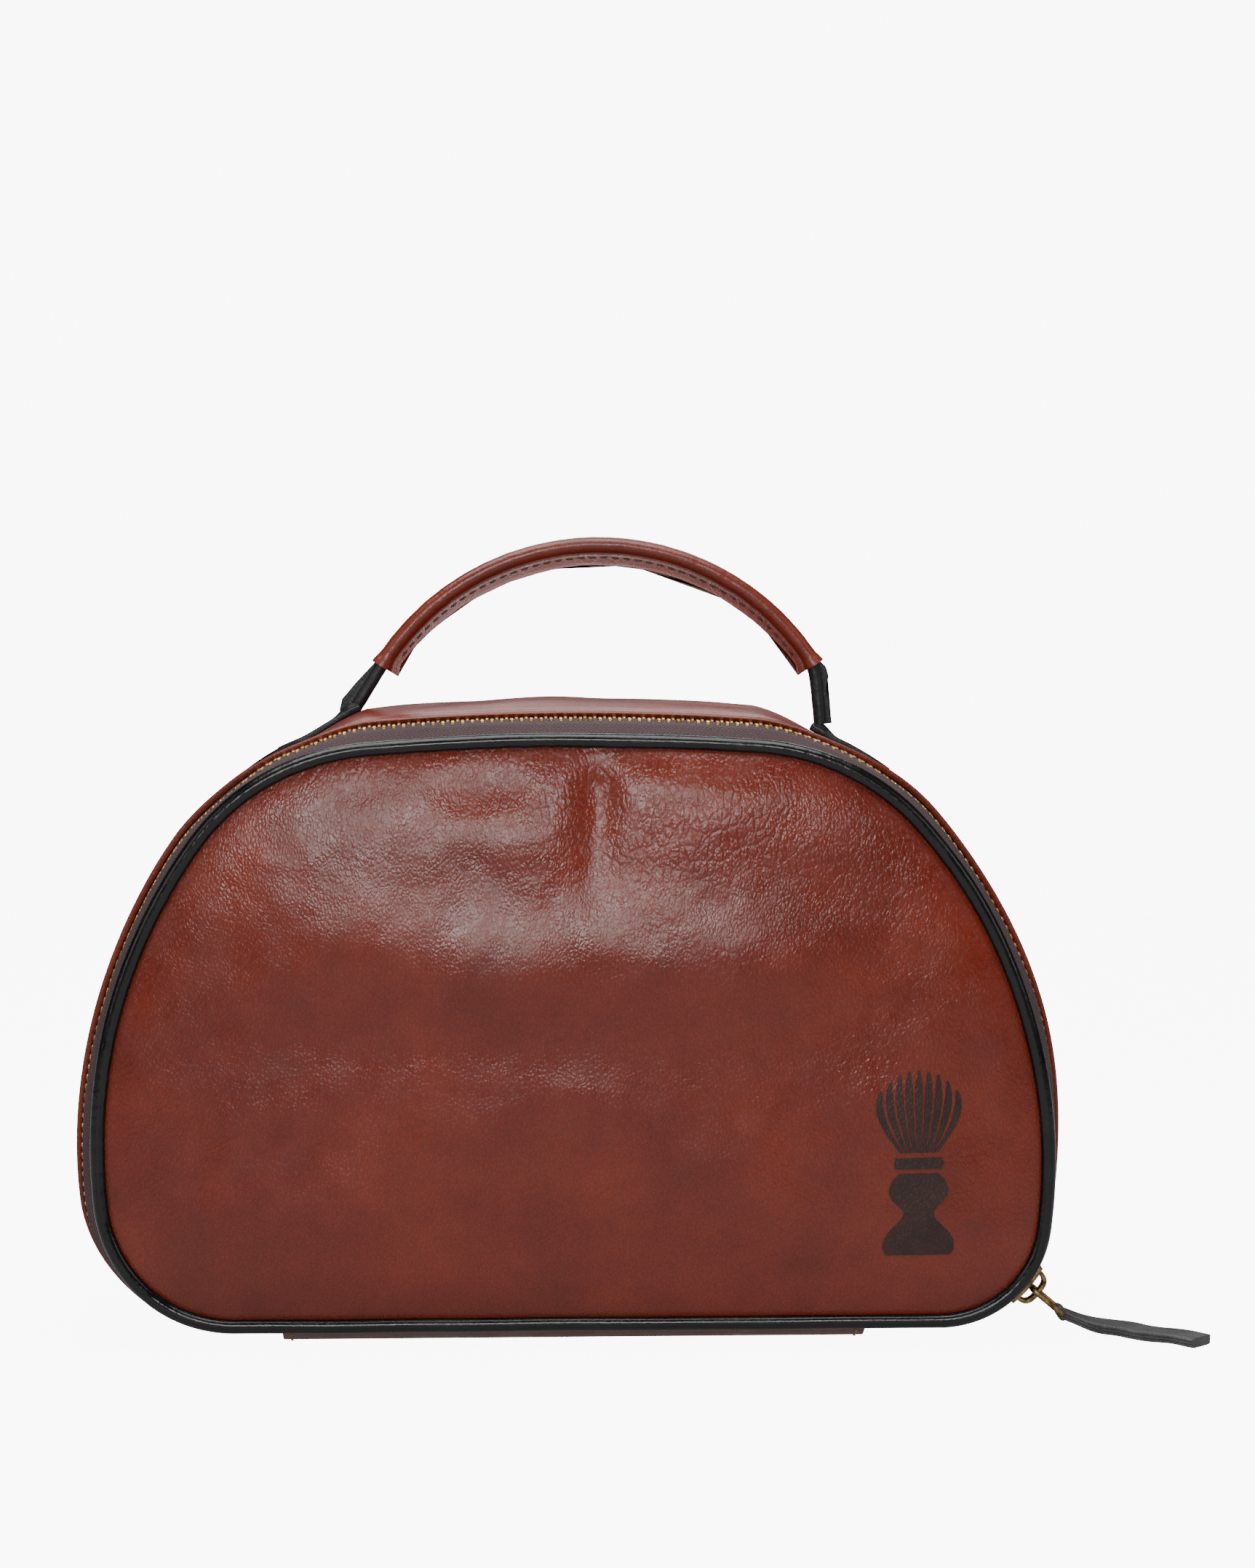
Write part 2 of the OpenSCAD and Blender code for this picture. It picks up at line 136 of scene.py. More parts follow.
for name, place, width, height, watts in LAMPS:
    light = bpy.data.lights.new(name, "AREA")
    light.shape = "RECTANGLE"
    light.size = width
    light.size_y = height
    light.energy = watts
    lamp = bpy.data.objects.new(name, light)
    lamp.location = place
    lamp.rotation_euler = (LAMP_TARGET - Vector(place)).to_track_quat("-Z", "Y").to_euler()
    bpy.context.collection.objects.link(lamp)

# The room lights the bag dimly, so that the leather keeps its depth. Light Path gives rays that come
# straight from the camera a bright room, as pale as the table
world = bpy.data.worlds.new("studio")
world.use_nodes = True
tree = world.node_tree
seen = node(tree, "ShaderNodeLightPath").outputs["Is Camera Ray"]
background = tree.nodes["Background"]
background.inputs["Color"].default_value = linear("#ffffff")
strength = node(tree, "ShaderNodeMapRange", {"Value": seen, "To Min": ROOM_LIGHT, "To Max": SEEN_LIGHT})
tree.links.new(strength.outputs[0], background.inputs["Strength"])
bpy.context.scene.world = world

camera_data = bpy.data.cameras.new("camera")
camera_data.lens = CAMERA_LENS
camera_data.sensor_width = SENSOR_W
camera = bpy.data.objects.new("camera", camera_data)
camera.location = CAMERA_PLACE
camera.rotation_euler = (math.pi / 2 - CAMERA_PITCH, 0, -CAMERA_YAW)
bpy.context.collection.objects.link(camera)
bpy.context.scene.camera = camera


# ---------------------------------------------------------------------------------------
# Outline. Every panel of the bag is cut to one D: a straight bottom, two corners, bulging
# sides, shoulders and a nearly flat top, each an arc that runs smoothly into the next.
# ---------------------------------------------------------------------------------------

piping_low, piping_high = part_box("front_piping_cover")
HALF_W = (piping_high[0] - piping_low[0]) / 2 / MM
BOTTOM = piping_low[2] / MM
OUTLINE_H = (piping_high[2] - piping_low[2]) / MM
PIPING_R = (piping_high[1] - piping_low[1]) / 2 / MM
PIPING_Y = -(piping_high[1] + piping_low[1]) / 2 / MM
SIDE_R = 142
SHOULDER_R = 65
TOP_R = 700
RIGHT_CORNER_R = 30
LEFT_CORNER_R = 38
RIGHT_WIDEST = 43
LEFT_WIDEST = 49


def half_outline(corner_r, widest):
    """The corner, side and shoulder arcs of the right half, as [x, z, radius, from, to]."""
    side_x = HALF_W - SIDE_R
    corner_x = side_x + math.sqrt((SIDE_R - corner_r) ** 2 - (widest - corner_r) ** 2)
    a = np.array([side_x, widest])
    b = np.array([0, OUTLINE_H - TOP_R])
    p, q = SIDE_R - SHOULDER_R, TOP_R - SHOULDER_R
    gap = np.linalg.norm(b - a)
    along = (p * p - q * q + gap * gap) / (2 * gap)
    across = math.sqrt(p * p - along * along)
    way = (b - a) / gap
    shoulder = a + along * way + across * np.array([-way[1], way[0]])
    corner_end = math.atan2(corner_r - widest, corner_x - side_x)
    side_end = math.atan2(shoulder[1] - widest, shoulder[0] - side_x)
    shoulder_end = math.atan2(shoulder[1] - b[1], shoulder[0])
    return [
        [corner_x, corner_r, corner_r, -math.pi / 2, corner_end],
        [side_x, widest, SIDE_R, corner_end, side_end],
        [shoulder[0], shoulder[1], SHOULDER_R, side_end, shoulder_end],
    ]


right_half = half_outline(RIGHT_CORNER_R, RIGHT_WIDEST)
left_half = half_outline(LEFT_CORNER_R, LEFT_WIDEST)
top_arc = [0, OUTLINE_H - TOP_R, TOP_R, right_half[2][4], math.pi - left_half[2][4]]
left_arcs = [[-x, z, r, math.pi - a1, math.pi - a0] for x, z, r, a0, a1 in left_half[::-1]]
ARCS = right_half + [top_arc] + left_arcs
ARC_LENGTHS = [r * (a1 - a0) for _, _, r, a0, a1 in ARCS]
RIGHT_STRAIGHT = right_half[0][0]
LEFT_STRAIGHT = left_half[0][0]
PERIMETER = RIGHT_STRAIGHT + sum(ARC_LENGTHS) + LEFT_STRAIGHT


def outline(s):
    """Places and outward normals at lengths s round the D from the bottom's middle, and the
    normal's angle in degrees."""
    s = np.mod(s, PERIMETER)
    x, z = s.copy(), np.zeros_like(s)
    turn = np.full_like(s, -math.pi / 2)
    start = RIGHT_STRAIGHT
    for (cx, cz, r, a0, a1), length in zip(ARCS, ARC_LENGTHS):
        here = (s >= start) & (s < start + length)
        angle = a0 + (s - start) / r
        x = np.where(here, cx + r * np.cos(angle), x)
        z = np.where(here, cz + r * np.sin(angle), z)
        turn = np.where(here, angle, turn)
        start += length
    last = s >= start
    x = np.where(last, s - PERIMETER, x)
    turn = np.where(last, math.pi * 1.5, turn)
    return x, z + BOTTOM, np.cos(turn), np.sin(turn), np.degrees(turn)


def length_at(degrees):
    """The length round the outline at which its normal reaches an angle."""
    start = RIGHT_STRAIGHT
    angle = math.radians(degrees)
    for (_, _, r, a0, a1), length in zip(ARCS, ARC_LENGTHS):
        if angle <= a1:
            return start + r * (angle - a0)
        start += length
    return start


def eased(values, keys, heights):
    """Runs smoothly through the heights at the keys, level at each."""
    keys, heights = np.array(keys, float), np.array(heights, float)
    i = np.clip(np.searchsorted(keys, values) - 1, 0, len(keys) - 2)
    t = np.clip((values - keys[i]) / (keys[i + 1] - keys[i]), 0, 1)
    return heights[i] + (heights[i + 1] - heights[i]) * t * t * (3 - 2 * t)


def ripple(points, size, seed=0.0):
    """Smooth noise from -1 to 1 at points in mm, with lumps of about the given size."""
    shift = Vector((seed, seed * 0.7, -seed))
    return np.array([noise.noise(Vector(p) / size + shift) for p in points])


def zip_lift(angle):
    """How far the zip stands out beyond its lowest line, round the dome. It is level over the
    slider's travel, so that the tape stays between its plates."""
    keys = (-90, -10, 18, 38, 66, 90, 112, 128, 150, 185, 230, 270)
    return eased(angle, keys, (0, 0, 3.0, 2.4, 0.8, 2.5, 0.5, 0.6, 1.9, 3.3, 2.0, 0))


def crown(y):
    """The gusset's bulge between the pipings."""
    return 5 * (1 - (y / PIPING_Y) ** 2) - 1.5


def in_place(s, y, u):
    """Points at length s round the outline, depth y and height u over it, in mm."""
    x, z, nx, nz, _ = outline(s)
    return np.stack([x + u * nx, y, z + u * nz], axis=-1)


# ---------------------------------------------------------------------------------------
# Front panel. One piece of vegetable-tanned cowhide, dyed chestnut and waxed to a gloss,
# sewn in round its edge. It is soft enough to slump, with a fold and a dent at the top.
# ---------------------------------------------------------------------------------------

def sheet_piece(name, along, across, place, size):
    """A grid whose points are laid by place(a, b), a and b from 0 to 1. Its UV map is in metres."""
    deselect_all()
    bpy.ops.mesh.primitive_grid_add(x_subdivisions=along, y_subdivisions=across, size=1, calc_uvs=True)
    piece = bpy.context.object
    piece.name = piece.data.name = name
    mesh = piece.data
    flat = np.empty(len(mesh.vertices) * 3)
    mesh.vertices.foreach_get("co", flat)
    flat = flat.reshape(-1, 3) + 0.5
    points = place(flat[:, 0], flat[:, 1]) * MM
    mesh.vertices.foreach_set("co", points.ravel())
    uv = np.empty(len(mesh.loops) * 2)
    mesh.uv_layers[0].data.foreach_get("uv", uv)
    uv = uv.reshape(-1, 2) * np.array(size) * MM
    mesh.uv_layers[0].data.foreach_set("uv", uv.ravel())
    mesh.update()
    bpy.ops.object.shade_smooth()
    return piece


SMOOTH_ANGLE = math.radians(50)


def turn_towards(piece, direction):
    """Flips an open sheet if its faces look away from direction(centre)."""
    total = sum(f.normal.dot(direction(f.center)) * f.area for f in piece.data.polygons)
    if total < 0:
        only(piece)
        bpy.ops.object.mode_set(mode="EDIT")
        bpy.ops.mesh.select_all(action="SELECT")
        bpy.ops.mesh.flip_normals()
        bpy.ops.object.mode_set(mode="OBJECT")


def modify(piece, kind, **settings):
    """Adds a modifier and applies it."""
    only(piece)
    modifier = piece.modifiers.new(kind.lower(), kind)
    for key, value in settings.items():
        setattr(modifier, key, value)
    bpy.ops.object.modifier_apply(modifier=modifier.name)


def thicken(piece, thickness, rim=0.0):
    """Gives an outward-facing sheet its thickness, inwards, and rounds its rim."""
    modify(piece, "SOLIDIFY", thickness=thickness * MM, offset=-1, use_even_offset=True)
    if rim:
        modify(piece, "BEVEL", width=rim * MM, segments=2, limit_method="ANGLE", angle_limit=SMOOTH_ANGLE)
    only(piece)
    bpy.ops.object.shade_smooth_by_angle(angle=SMOOTH_ANGLE)


def dress(piece, material, body, slot, *replaced):
    """Gives a piece its material, its body or none where it is blended, and the nodes it stands for. The
    finish slot is not used."""
    piece.data.materials.clear()
    piece.data.materials.append(material)
    if body:
        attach(piece, body)
    if replaced:
        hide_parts(*replaced)


def leather(name, colours, pebble=0.0, grain=0.9, gloss=0.36, bump=0.5, coat=0.25, patches=30):
    """Tanned leather on Object coordinates: mottled dye, fine grain, and coarser creases where
    pebble is given.
    colours run from the worn dark to the bright rubbed tone; grain is the cell size in mm."""
    material, tree, shader = finish_material(name)
    place = node(tree, "ShaderNodeTexCoord").outputs["Object"]
    warp = node(tree, "ShaderNodeTexNoise", {"Vector": place, "Scale": 1 / (6 * MM), "Detail": 2.0})
    push = node(tree, "ShaderNodeVectorMath", {
        0: warp.outputs["Color"], "Scale": 1.2 * MM}, operation="SCALE").outputs[0]
    warped = node(tree, "ShaderNodeVectorMath", {0: place, 1: push}, operation="ADD").outputs[0]
    upright = node(tree, "ShaderNodeMapping", {"Vector": warped, "Scale": (1.0, 1.0, 0.62)}).outputs[0]

    mottle = node(tree, "ShaderNodeTexNoise", {
        "Vector": place, "Scale": 1 / (patches * MM), "Detail": 6.0, "Roughness": 0.62})
    dye = node(tree, "ShaderNodeValToRGB", {"Fac": mottle.outputs["Fac"]})
    ramp = dye.color_ramp.elements
    ramp[0].position, ramp[1].position = 0.3, 0.72
    ramp[0].color, ramp[1].color = linear(colours[0]), linear(colours[-1])
    middle = ramp.new(0.5)
    middle.color = linear(colours[1])

    fine = node(tree, "ShaderNodeTexVoronoi", {
        "Vector": upright, "Scale": 1 / (grain * MM)}, feature="DISTANCE_TO_EDGE")
    height = node(tree, "ShaderNodeMath", {
        0: fine.outputs["Distance"], 1: 0.35}, operation="MINIMUM").outputs[0]
    creases = node(tree, "ShaderNodeMath", {0: height, 1: 2.6}, operation="MULTIPLY").outputs[0]
    bump_height = creases
    if pebble:
        coarse = node(tree, "ShaderNodeTexVoronoi", {
            "Vector": upright, "Scale": 1 / (2.1 * MM)}, feature="DISTANCE_TO_EDGE")
        cell = node(tree, "ShaderNodeMath", {
            0: coarse.outputs["Distance"], 1: 0.22}, operation="MINIMUM").outputs[0]
        spread = node(tree, "ShaderNodeTexNoise", {"Vector": place, "Scale": 1 / (42 * MM), "Detail": 2.0})
        upper = node(tree, "ShaderNodeSeparateXYZ", {"Vector": place})
        tilt = node(tree, "ShaderNodeMath", {0: upper.outputs["X"], 1: 0.45}, operation="MULTIPLY").outputs[0]
        high = node(tree, "ShaderNodeMath", {0: upper.outputs["Z"], 1: tilt}, operation="ADD").outputs[0]
        zone = node(tree, "ShaderNodeMapRange", {
            "Value": high, "From Min": 0.085, "From Max": 0.15, "To Min": 0.0, "To Max": 1.0}).outputs[0]
        patch = node(tree, "ShaderNodeMapRange", {
            "Value": spread.outputs["Fac"], "From Min": 0.38, "From Max": 0.6,
            "To Min": 0.25, "To Max": 1.0}).outputs[0]
        amount = node(tree, "ShaderNodeMath", {0: zone, 1: patch}, operation="MULTIPLY").outputs[0]
        deep = node(tree, "ShaderNodeMath", {0: cell, 1: amount}, operation="MULTIPLY").outputs[0]
        deep = node(tree, "ShaderNodeMath", {0: deep, 1: 9.0 * pebble}, operation="MULTIPLY").outputs[0]
        bump_height = node(tree, "ShaderNodeMath", {0: creases, 1: deep}, operation="ADD").outputs[0]
    pores = node(tree, "ShaderNodeTexNoise", {"Vector": place, "Scale": 1 / (0.5 * MM), "Detail": 3.0})
    pore_depth = node(tree, "ShaderNodeMath", {
        0: pores.outputs["Fac"], 1: 0.35}, operation="MULTIPLY").outputs[0]
    bump_height = node(tree, "ShaderNodeMath", {0: bump_height, 1: pore_depth}, operation="ADD").outputs[0]
    relief = node(tree, "ShaderNodeBump", {"Height": bump_height, "Strength": bump, "Distance": 0.00016})

    # Painted shade: the dye is darkened down to 0.78 in the fine grain's creases, where the bump sinks them
    crease_painted_shade = node(tree, "ShaderNodeMapRange", {
        "Value": creases, "From Min": 0.0, "From Max": 0.4, "To Min": 0.78, "To Max": 1.0}).outputs[0]
    tone = node(tree, "ShaderNodeMix", {
        0: 1.0, 6: dye.outputs["Color"], 7: crease_painted_shade}, data_type="RGBA", blend_type="MULTIPLY")
    scuffs = node(tree, "ShaderNodeTexNoise", {"Vector": place, "Scale": 1 / (9 * MM), "Detail": 5.0})
    rough = node(tree, "ShaderNodeMapRange", {
        "Value": scuffs.outputs["Fac"], "From Min": 0.3, "From Max": 0.7,
        "To Min": gloss - 0.06, "To Max": gloss + 0.09}).outputs[0]
    tree.links.new(tone.outputs[2], shader.inputs["Base Color"])
    tree.links.new(rough, shader.inputs["Roughness"])
    tree.links.new(relief.outputs["Normal"], shader.inputs["Normal"])
    shader.inputs["Specular IOR Level"].default_value = 0.35
    shader.inputs["Coat Weight"].default_value = coat
    shader.inputs["Coat Roughness"].default_value = 0.24
    return material


# Waxed chestnut hide: red-brown, darker where it is handled, with a soft shine
CHESTNUT = ("#591a0e", "#641f11", "#702615")
chestnut_hide = leather("waxed_chestnut_hide", CHESTNUT, pebble=1.0, bump=0.36, gloss=0.28, coat=0.12)
LEATHER_T = 1.6
PANEL_EDGE = 2.6
PANEL_BULGE = 11.0

# Soft lumps and dents of the slumped hide: x, z, width, height and how far it stands out
SLUMPS = (
    (6, 148, 6, 20, -2.6), (-24, 151, 13, 8, -1.3), (-60, 150, 14, 8, -0.8),
    (-18, 104, 30, 14, 2.0), (42, 106, 30, 15, 2.3), (-62, 112, 22, 16, 1.4),
    (36, 146, 15, 16, 1.2), (-12, 134, 9, 12, 0.8), (82, 104, 12, 24, -0.9),
    (-5, 82, 70, 10, -0.9), (-70, 38, 30, 14, 1.2), (-20, 30, 26, 10, -0.6),
    (35, 40, 34, 14, 0.9), (-100, 62, 9, 26, -0.6), (104, 66, 9, 24, -0.6),
)


def slump(x, z):
    total = np.zeros_like(x)
    for sx, sz, wide, tall, out in SLUMPS:
        total += out * np.exp(-((x - sx) / wide) ** 2 - ((z - sz) / tall) ** 2)
    return total


def ringed(a, b):
    """Square rings of the grid laid as rings of the outline: length round it, and 0 inside to 1
    at the edge."""
    x, z = 2 * a - 1, 2 * b - 1
    ring = np.maximum(np.abs(x), np.abs(z))
    safe = np.maximum(ring, 1e-9)
    side = np.where(-z >= np.abs(x), x / safe, 0)
    side = np.where((x > np.abs(z)), 2 + z / safe, side)
    side = np.where((z >= np.abs(x)) & (ring > 0), 4 - x / safe, side)
    side = np.where((-x > np.abs(z)), 6 - z / safe, side)
    corners = np.array([-1, 1, 3, 5, 7])
    lengths = np.array([
        length_at(230) - PERIMETER, length_at(-50), length_at(58), length_at(122), length_at(230)])
    return np.interp(side, corners, lengths), ring


def flat_panel(inset, depth):
    """A place function for a panel in the outline, at a depth that depends on x, z and the ring."""
    def place(a, b):
        s, ring = ringed(a, b)
        edge = in_place(s, np.zeros_like(s), -inset * np.ones_like(s))
        middle = np.array([0, 0, BOTTOM + 68])
        points = middle + (edge - middle) * ring[:, None]
        points[:, 1] = depth(points[:, 0], points[:, 2], ring)
        return points
    return place


def front_depth(x, z, ring):
    pillow = (1 - ring ** 14) * 0.28 + (1 - ring ** 1.7) * 0.72
    edge_fade = np.clip((1 - ring) / 0.12, 0, 1)
    spots = np.stack([x, np.zeros_like(x), z], axis=-1)
    fine = 0.55 * ripple(spots, 26, 3) + 0.22 * ripple(spots, 10, 11) + 0.07 * ripple(spots, 4, 5)
    return -PIPING_Y + 0.4 - PANEL_BULGE * pillow - edge_fade * (slump(x, z) + fine)


front_panel = sheet_piece("front_panel", 230, 170, flat_panel(PANEL_EDGE, front_depth), (252, 156))
turn_towards(front_panel, lambda p: Vector((0, -1, 0)))
thicken(front_panel, LEATHER_T)
dress(front_panel, chestnut_hide, "front_cover", "chestnut_leather", "front_panel")


# ---------------------------------------------------------------------------------------
# Piping. A cotton cord wrapped in thin black glazed leather and caught in the seam. The
# leather gathers on the curves, so it is crossed by small broken wrinkles.
# ---------------------------------------------------------------------------------------

def close_up(piece, fill=True):
    """Merges a rolled grid's meeting edges, fills its open ends and turns its faces outwards."""
    only(piece)
    bpy.ops.object.mode_set(mode="EDIT")
    bpy.ops.mesh.select_all(action="SELECT")
    bpy.ops.mesh.remove_doubles(threshold=1e-6)
    if fill:
        bpy.ops.mesh.fill_holes(sides=0)
    bpy.ops.mesh.select_all(action="SELECT")
    bpy.ops.mesh.normals_make_consistent(inside=False)
    bpy.ops.object.mode_set(mode="OBJECT")
    bpy.ops.object.shade_smooth_by_angle(angle=SMOOTH_ANGLE)


black_glazed = leather(
    "black_glazed_leather", ("#070607", "#0c0b0c", "#131213"), grain=1.5, gloss=0.22, bump=0.14, coat=0.0,
    patches=14)


def piping(name, depth, seed):
    def place(a, b):
        s = a * PERIMETER
        roll = b * 2 * math.pi
        centre = in_place(s, np.zeros_like(s), np.zeros_like(s))
        puckered = eased(outline(s)[4], (-90, 20, 60, 100, 165, 270), (0.25, 0.25, 0.7, 1.0, 0.8, 0.25))
        gathers = 0.055 * ripple(centre + depth, 3.2, seed) + 0.035 * ripple(centre, 1.5, seed + 4)
        radius = PIPING_R * (1 + gathers * puckered * (0.6 - 0.4 * np.cos(roll - 0.6)))
        wander = 0.35 * ripple(centre, 34, seed + 9)
        return in_place(s, depth + radius * np.sin(roll), -PIPING_R + wander + radius * np.cos(roll))
    roll = sheet_piece(name, 1500, 20, place, (PERIMETER, 2 * math.pi * PIPING_R))
    close_up(roll, fill=False)
    return roll


front_piping = piping("front_piping", -PIPING_Y, 2)
dress(front_piping, black_glazed, "front_cover", "piping_leather", "front_piping_cover")
back_piping = piping("back_piping", PIPING_Y, 23)
dress(back_piping, black_glazed, "bag_body", "piping_leather", "back_piping_cover")


# ---------------------------------------------------------------------------------------
# Zip tape. Aubergine-brown polyester twill, sewn behind the front piping and under the
# gusset's folded edge, with the metal teeth clamped to its two inner edges.
# ---------------------------------------------------------------------------------------

def woven(name, colour, dark, pitch, bump=0.6):
    """Herringbone twill on the piece's own UV map, in metres, with ribs at the given pitch in mm."""
    material, tree, shader = finish_material(name)
    uv = node(tree, "ShaderNodeUVMap").outputs["UV"]
    axes = node(tree, "ShaderNodeSeparateXYZ", {"Vector": uv})
    fold = node(tree, "ShaderNodeMath", {0: axes.outputs["Y"], 1: 2.4 * MM}, operation="PINGPONG").outputs[0]
    slant = node(tree, "ShaderNodeMath", {0: axes.outputs["X"], 1: fold}, operation="ADD").outputs[0]
    turns = node(tree, "ShaderNodeMath", {
        0: slant, 1: 2 * math.pi / (pitch * MM)}, operation="MULTIPLY").outputs[0]
    rib = node(tree, "ShaderNodeMath", {0: turns}, operation="SINE").outputs[0]
    thread_turns = node(tree, "ShaderNodeMath", {
        0: axes.outputs["Y"], 1: 2 * math.pi / (0.55 * pitch * MM)}, operation="MULTIPLY").outputs[0]
    thread = node(tree, "ShaderNodeMath", {0: thread_turns}, operation="SINE").outputs[0]
    both = node(tree, "ShaderNodeMath", {0: thread, 1: 0.45, 2: rib}, operation="MULTIPLY_ADD").outputs[0]
    fuzz = node(tree, "ShaderNodeTexNoise", {"Vector": uv, "Scale": 1 / (0.7 * MM), "Detail": 3.0})
    # Painted shade: the colour follows the same rib and thread height as the bump, darkest in the grooves;
    # the fuzz noise adds a random tone on top
    light = node(tree, "ShaderNodeMapRange", {
        "Value": both, "From Min": -1.4, "From Max": 1.4, "To Min": 0.15, "To Max": 0.95}).outputs[0]
    light = node(tree, "ShaderNodeMath", {0: light, 1: fuzz.outputs["Fac"]}, operation="MULTIPLY").outputs[0]
    shade = node(tree, "ShaderNodeMix", {0: light, 6: linear(dark), 7: linear(colour)}, data_type="RGBA")
    relief = node(tree, "ShaderNodeBump", {"Height": both, "Strength": bump, "Distance": 0.00012})
    tree.links.new(shade.outputs[2], shader.inputs["Base Color"])
    tree.links.new(relief.outputs["Normal"], shader.inputs["Normal"])
    shader.inputs["Roughness"].default_value = 0.7
    shader.inputs["Specular IOR Level"].default_value = 0.25
    shader.inputs["Sheen Weight"].default_value = 0.06
    return material


aubergine_twill = woven("aubergine_twill_tape", "#56383d", "#1f0f12", 1.1)
ZIP_END = 78.6
CHAIN_Y = -24.0
CHAIN_U = 0.3
ZIP_START, ZIP_STOP = ZIP_END, PERIMETER - ZIP_END
ZIP_LENGTH = ZIP_STOP - ZIP_START


def zip_hollow(angle):
    """How far the chain lies below the tape's middle: it is pressed in round the sides."""
    return eased(angle, (-90, 48, 66, 114, 132, 270), (0.9, 0.9, 0, 0, 0.9, 0.9))


def tape(name, depths, heights, across):
    """Half of the tape, its height over the outline given along its width."""
    def place(a, b):
        s = ZIP_START + a * ZIP_LENGTH
        y = np.interp(b, np.linspace(0, 1, len(depths)), depths)
        angle = outline(s)[4]
        raised = np.interp(b, np.linspace(0, 1, len(depths)), [0.15, 0.8, 1.0][:len(depths)])
        waves = 0.18 * ripple(np.stack([s, y, 0 * s], axis=-1), 9, 6)
        hollow = np.interp(b, np.linspace(0, 1, len(depths)), [0, 0.1, 1.0]) * zip_hollow(angle)
        u = np.interp(b, np.linspace(0, 1, len(depths)), heights) + raised * zip_lift(angle) - hollow + waves
        return in_place(s, y, u)
    piece = sheet_piece(name, 700, across, place, (ZIP_LENGTH, abs(depths[-1] - depths[0])))
    turn_towards(piece, lambda p: Vector((p.x, 0, p.z - 0.07)))
    thicken(piece, 0.5)
    return piece


front_tape = tape("front_tape", (-PIPING_Y + 1.2, -31.0, CHAIN_Y - 0.4), (-1.6, -0.1, CHAIN_U), 12)
dress(front_tape, aubergine_twill, None, "zip_tape", "front_zip_tape", "zip_end_tapes")
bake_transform(front_tape)
rear_tape = tape("rear_tape", (CHAIN_Y + 8, CHAIN_Y + 4.5, CHAIN_Y + 1.2), (0.0, CHAIN_U, CHAIN_U), 10)
dress(rear_tape, aubergine_twill, "bag_body", "zip_tape", "rear_zip_tape")


# ---------------------------------------------------------------------------------------
# Zip teeth. Brass teeth stamped from flat wire and clamped to the tape's edge, each with a
# rounded head that sits between two heads of the other row. The end at the right corner, near
# the bottom panel, is parted as far as the slider, because the slider closes only as far as the corner.
# ---------------------------------------------------------------------------------------

def cast_brass(name, colour, dark, rough, tarnish):
    """Plated zinc or brass: tarnish darkens it in patches of the given size in mm, and leaves it duller."""
    material, tree, shader = finish_material(name)
    place = node(tree, "ShaderNodeTexCoord").outputs["Object"]
    cloud = node(tree, "ShaderNodeTexNoise", {"Vector": place, "Scale": 1 / (tarnish * MM), "Detail": 4.0})
    shade = node(tree, "ShaderNodeMix", {
        0: node(tree, "ShaderNodeMapRange", {
            "Value": cloud.outputs["Fac"], "From Min": 0.35, "From Max": 0.65}).outputs[0],
        6: linear(dark), 7: linear(colour)}, data_type="RGBA")
    dull = node(tree, "ShaderNodeMapRange", {
        "Value": cloud.outputs["Fac"], "From Min": 0.3, "From Max": 0.7,
        "To Min": rough + 0.12, "To Max": rough - 0.05})
    scratches = node(tree, "ShaderNodeTexNoise", {"Vector": place, "Scale": 1 / (0.35 * MM), "Detail": 2.0})
    relief = node(tree, "ShaderNodeBump", {
        "Height": scratches.outputs["Fac"], "Strength": 0.15, "Distance": 0.00004})
    tree.links.new(shade.outputs[2], shader.inputs["Base Color"])
    tree.links.new(dull.outputs[0], shader.inputs["Roughness"])
    tree.links.new(relief.outputs["Normal"], shader.inputs["Normal"])
    shader.inputs["Metallic"].default_value = 1.0
    return material


tooth_brass = cast_brass("stamped_tooth_brass", "#e0b878", "#8c6a3c", 0.34, 3)
TOOTH_PITCH = 2.6
TOOTH_L = 4.0
TOOTH_T = 1.0
TOOTH_H = 1.3
TIP_INSET = 0.32
TIP_RISE = 0.35
TOOTH_ROUNDING = 0.16

deselect_all()
bpy.ops.mesh.primitive_cube_add(size=1)
tooth = bpy.context.object
tooth.scale = (TOOTH_T * MM, TOOTH_L * MM, TOOTH_H * MM)
bpy.ops.object.transform_apply(scale=True)
bpy.ops.object.mode_set(mode="EDIT")
bpy.ops.mesh.select_all(action="DESELECT")
bpy.ops.object.mode_set(mode="OBJECT")
for face in tooth.data.polygons:
    face.select = face.normal.y > 0.9
bpy.ops.object.mode_set(mode="EDIT")
bpy.ops.mesh.inset(thickness=TIP_INSET * MM)
bpy.ops.transform.translate(value=(0, TIP_RISE * MM, 0))
bpy.ops.object.mode_set(mode="OBJECT")
modify(tooth, "BEVEL", width=TOOTH_ROUNDING * MM, segments=1)
tooth.data.materials.append(tooth_brass)


def placed_copy(piece, turn):
    """A copy of a piece, laid by a matrix."""
    copy = piece.copy()
    copy.data = piece.data.copy()
    copy.data.transform(turn)
    bpy.context.collection.objects.link(copy)
    return copy


def joined(pieces, name):
    """Joins pieces into one."""
    deselect_all()
    for piece in pieces:
        piece.select_set(True)
    bpy.context.view_layer.objects.active = pieces[0]
    bpy.ops.object.join()
    whole = bpy.context.object
    whole.name = whole.data.name = name
    return whole


